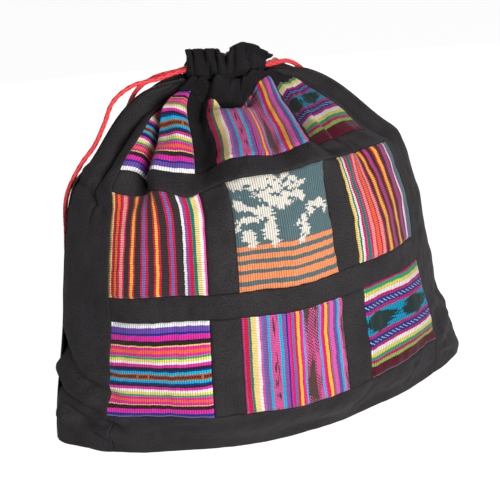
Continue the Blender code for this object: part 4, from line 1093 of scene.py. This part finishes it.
def makeTab(word, hand):
    # a loop of tape: a rounded rectangle carried up the cloth, with softly rolled edges
    point, outward, along, climb = tabFrame(hand)
    middle = point + outward * (bag["gap"] + cord["tabWall"] + cord["tabDepth"] / 2)
    radius = cord["tabDepth"] / 2 + cord["tabWall"]
    straight = (cord["tabLength"] - cord["tabDepth"]) / 2
    angle = np.linspace(0, 2 * math.pi, 49)[:-1]
    level = np.linspace(-0.5, 0.5, 15)[:, None]
    size = radius - 0.0004 * (2 * np.abs(level)) ** 6
    x = np.sign(np.cos(angle)) * straight + size * np.cos(angle)
    y = size * np.sin(angle) + 0 * level
    z = level * cord["tabHeight"] + 0 * x
    points = middle + x[..., None] * along + y[..., None] * outward + z[..., None] * climb
    uv = np.stack(np.broadcast_arrays(np.linspace(0, 0.5, 49)[None], level * 0.12), -1)
    mesh = gridMesh("tape", points, uv, ring=True)
    addPiece("tape_" + word, mesh, blackCotton, ["tab_" + word], cord["tabWall"])


makeBase()
makeTab("left", -1)
makeTab("right", 1)
print("base and tabs made")


# studio: white surroundings, pale floor, a low lamp at the right front, one at the left and one behind
studio = {
    "aim": (0, 0, 0.15), "world": 0.13, "white": 0.965, "floor": (0.30, 0.30, 0.30, 1), "floorGlow": 0.93,
    "floorReach": 6, "floorLevel": -0.0002,
    "lamps": (("keyLight", (0.15, -1.32, 0.44), 0.6, 25.0), ("fillLight", (-1.4, 0.35, 0.85), 1.2, 2.5),
              ("backLight", (0.5, 1.6, 0.6), 1.0, 9.0)),
}


def areaLight(name, place, size, power):
    data = bpy.data.lights.new(name, "AREA")
    data.size, data.energy = size, power
    obj = bpy.data.objects.new(name, data)
    obj.location = place
    obj.rotation_euler = (Vector(studio["aim"]) - Vector(place)).to_track_quat("-Z", "Y").to_euler()
    bpy.context.scene.collection.objects.link(obj)


def seenRays(tree):
    # 1 for what the camera sees, straight or by a shine, and 0 for light on the bag
    rays = addNode(tree, "LightPath").outputs
    found = Value(rays["Is Camera Ray"])
    for kind in ("Is Glossy Ray", "Is Transmission Ray"):
        found = found.calc("MAXIMUM", rays[kind])
    return found


def makeStudio():
    for lamp in studio["lamps"]:
        areaLight(*lamp)
    world = bpy.context.scene.world or bpy.data.worlds.new("studio")
    bpy.context.scene.world = world
    world.use_nodes = True
    shader = world.node_tree.nodes["Background"]
    shader.inputs["Color"].default_value = (1, 1, 1, 1)
    strength = seenRays(world.node_tree) * (studio["white"] - studio["world"]) + studio["world"]
    connect(strength, shader.inputs["Strength"])
    reach = studio["floorReach"]
    corners = [(x * reach, y * reach, studio["floorLevel"]) for x, y in ((-1, -1), (1, -1), (1, 1), (-1, 1))]
    floorMesh = bpy.data.meshes.new("floor")
    floorMesh.from_pydata(corners, [], [(0, 1, 2, 3)])
    floor = bpy.data.objects.new("floor", floorMesh)
    bpy.context.scene.collection.objects.link(floor)
    made, tree, shader = newMaterial("paleFloor", 0.9, specular=0.0)
    shader.inputs["Base Color"].default_value = studio["floor"]
    shader.inputs["Emission Color"].default_value = (1, 1, 1, 1)
    connect(seenRays(tree) * studio["floorGlow"], shader.inputs["Emission Strength"])
    floorMesh.materials.append(made)
    bpy.context.scene.view_settings.view_transform = "Standard"


makeStudio()
print("studio lit")
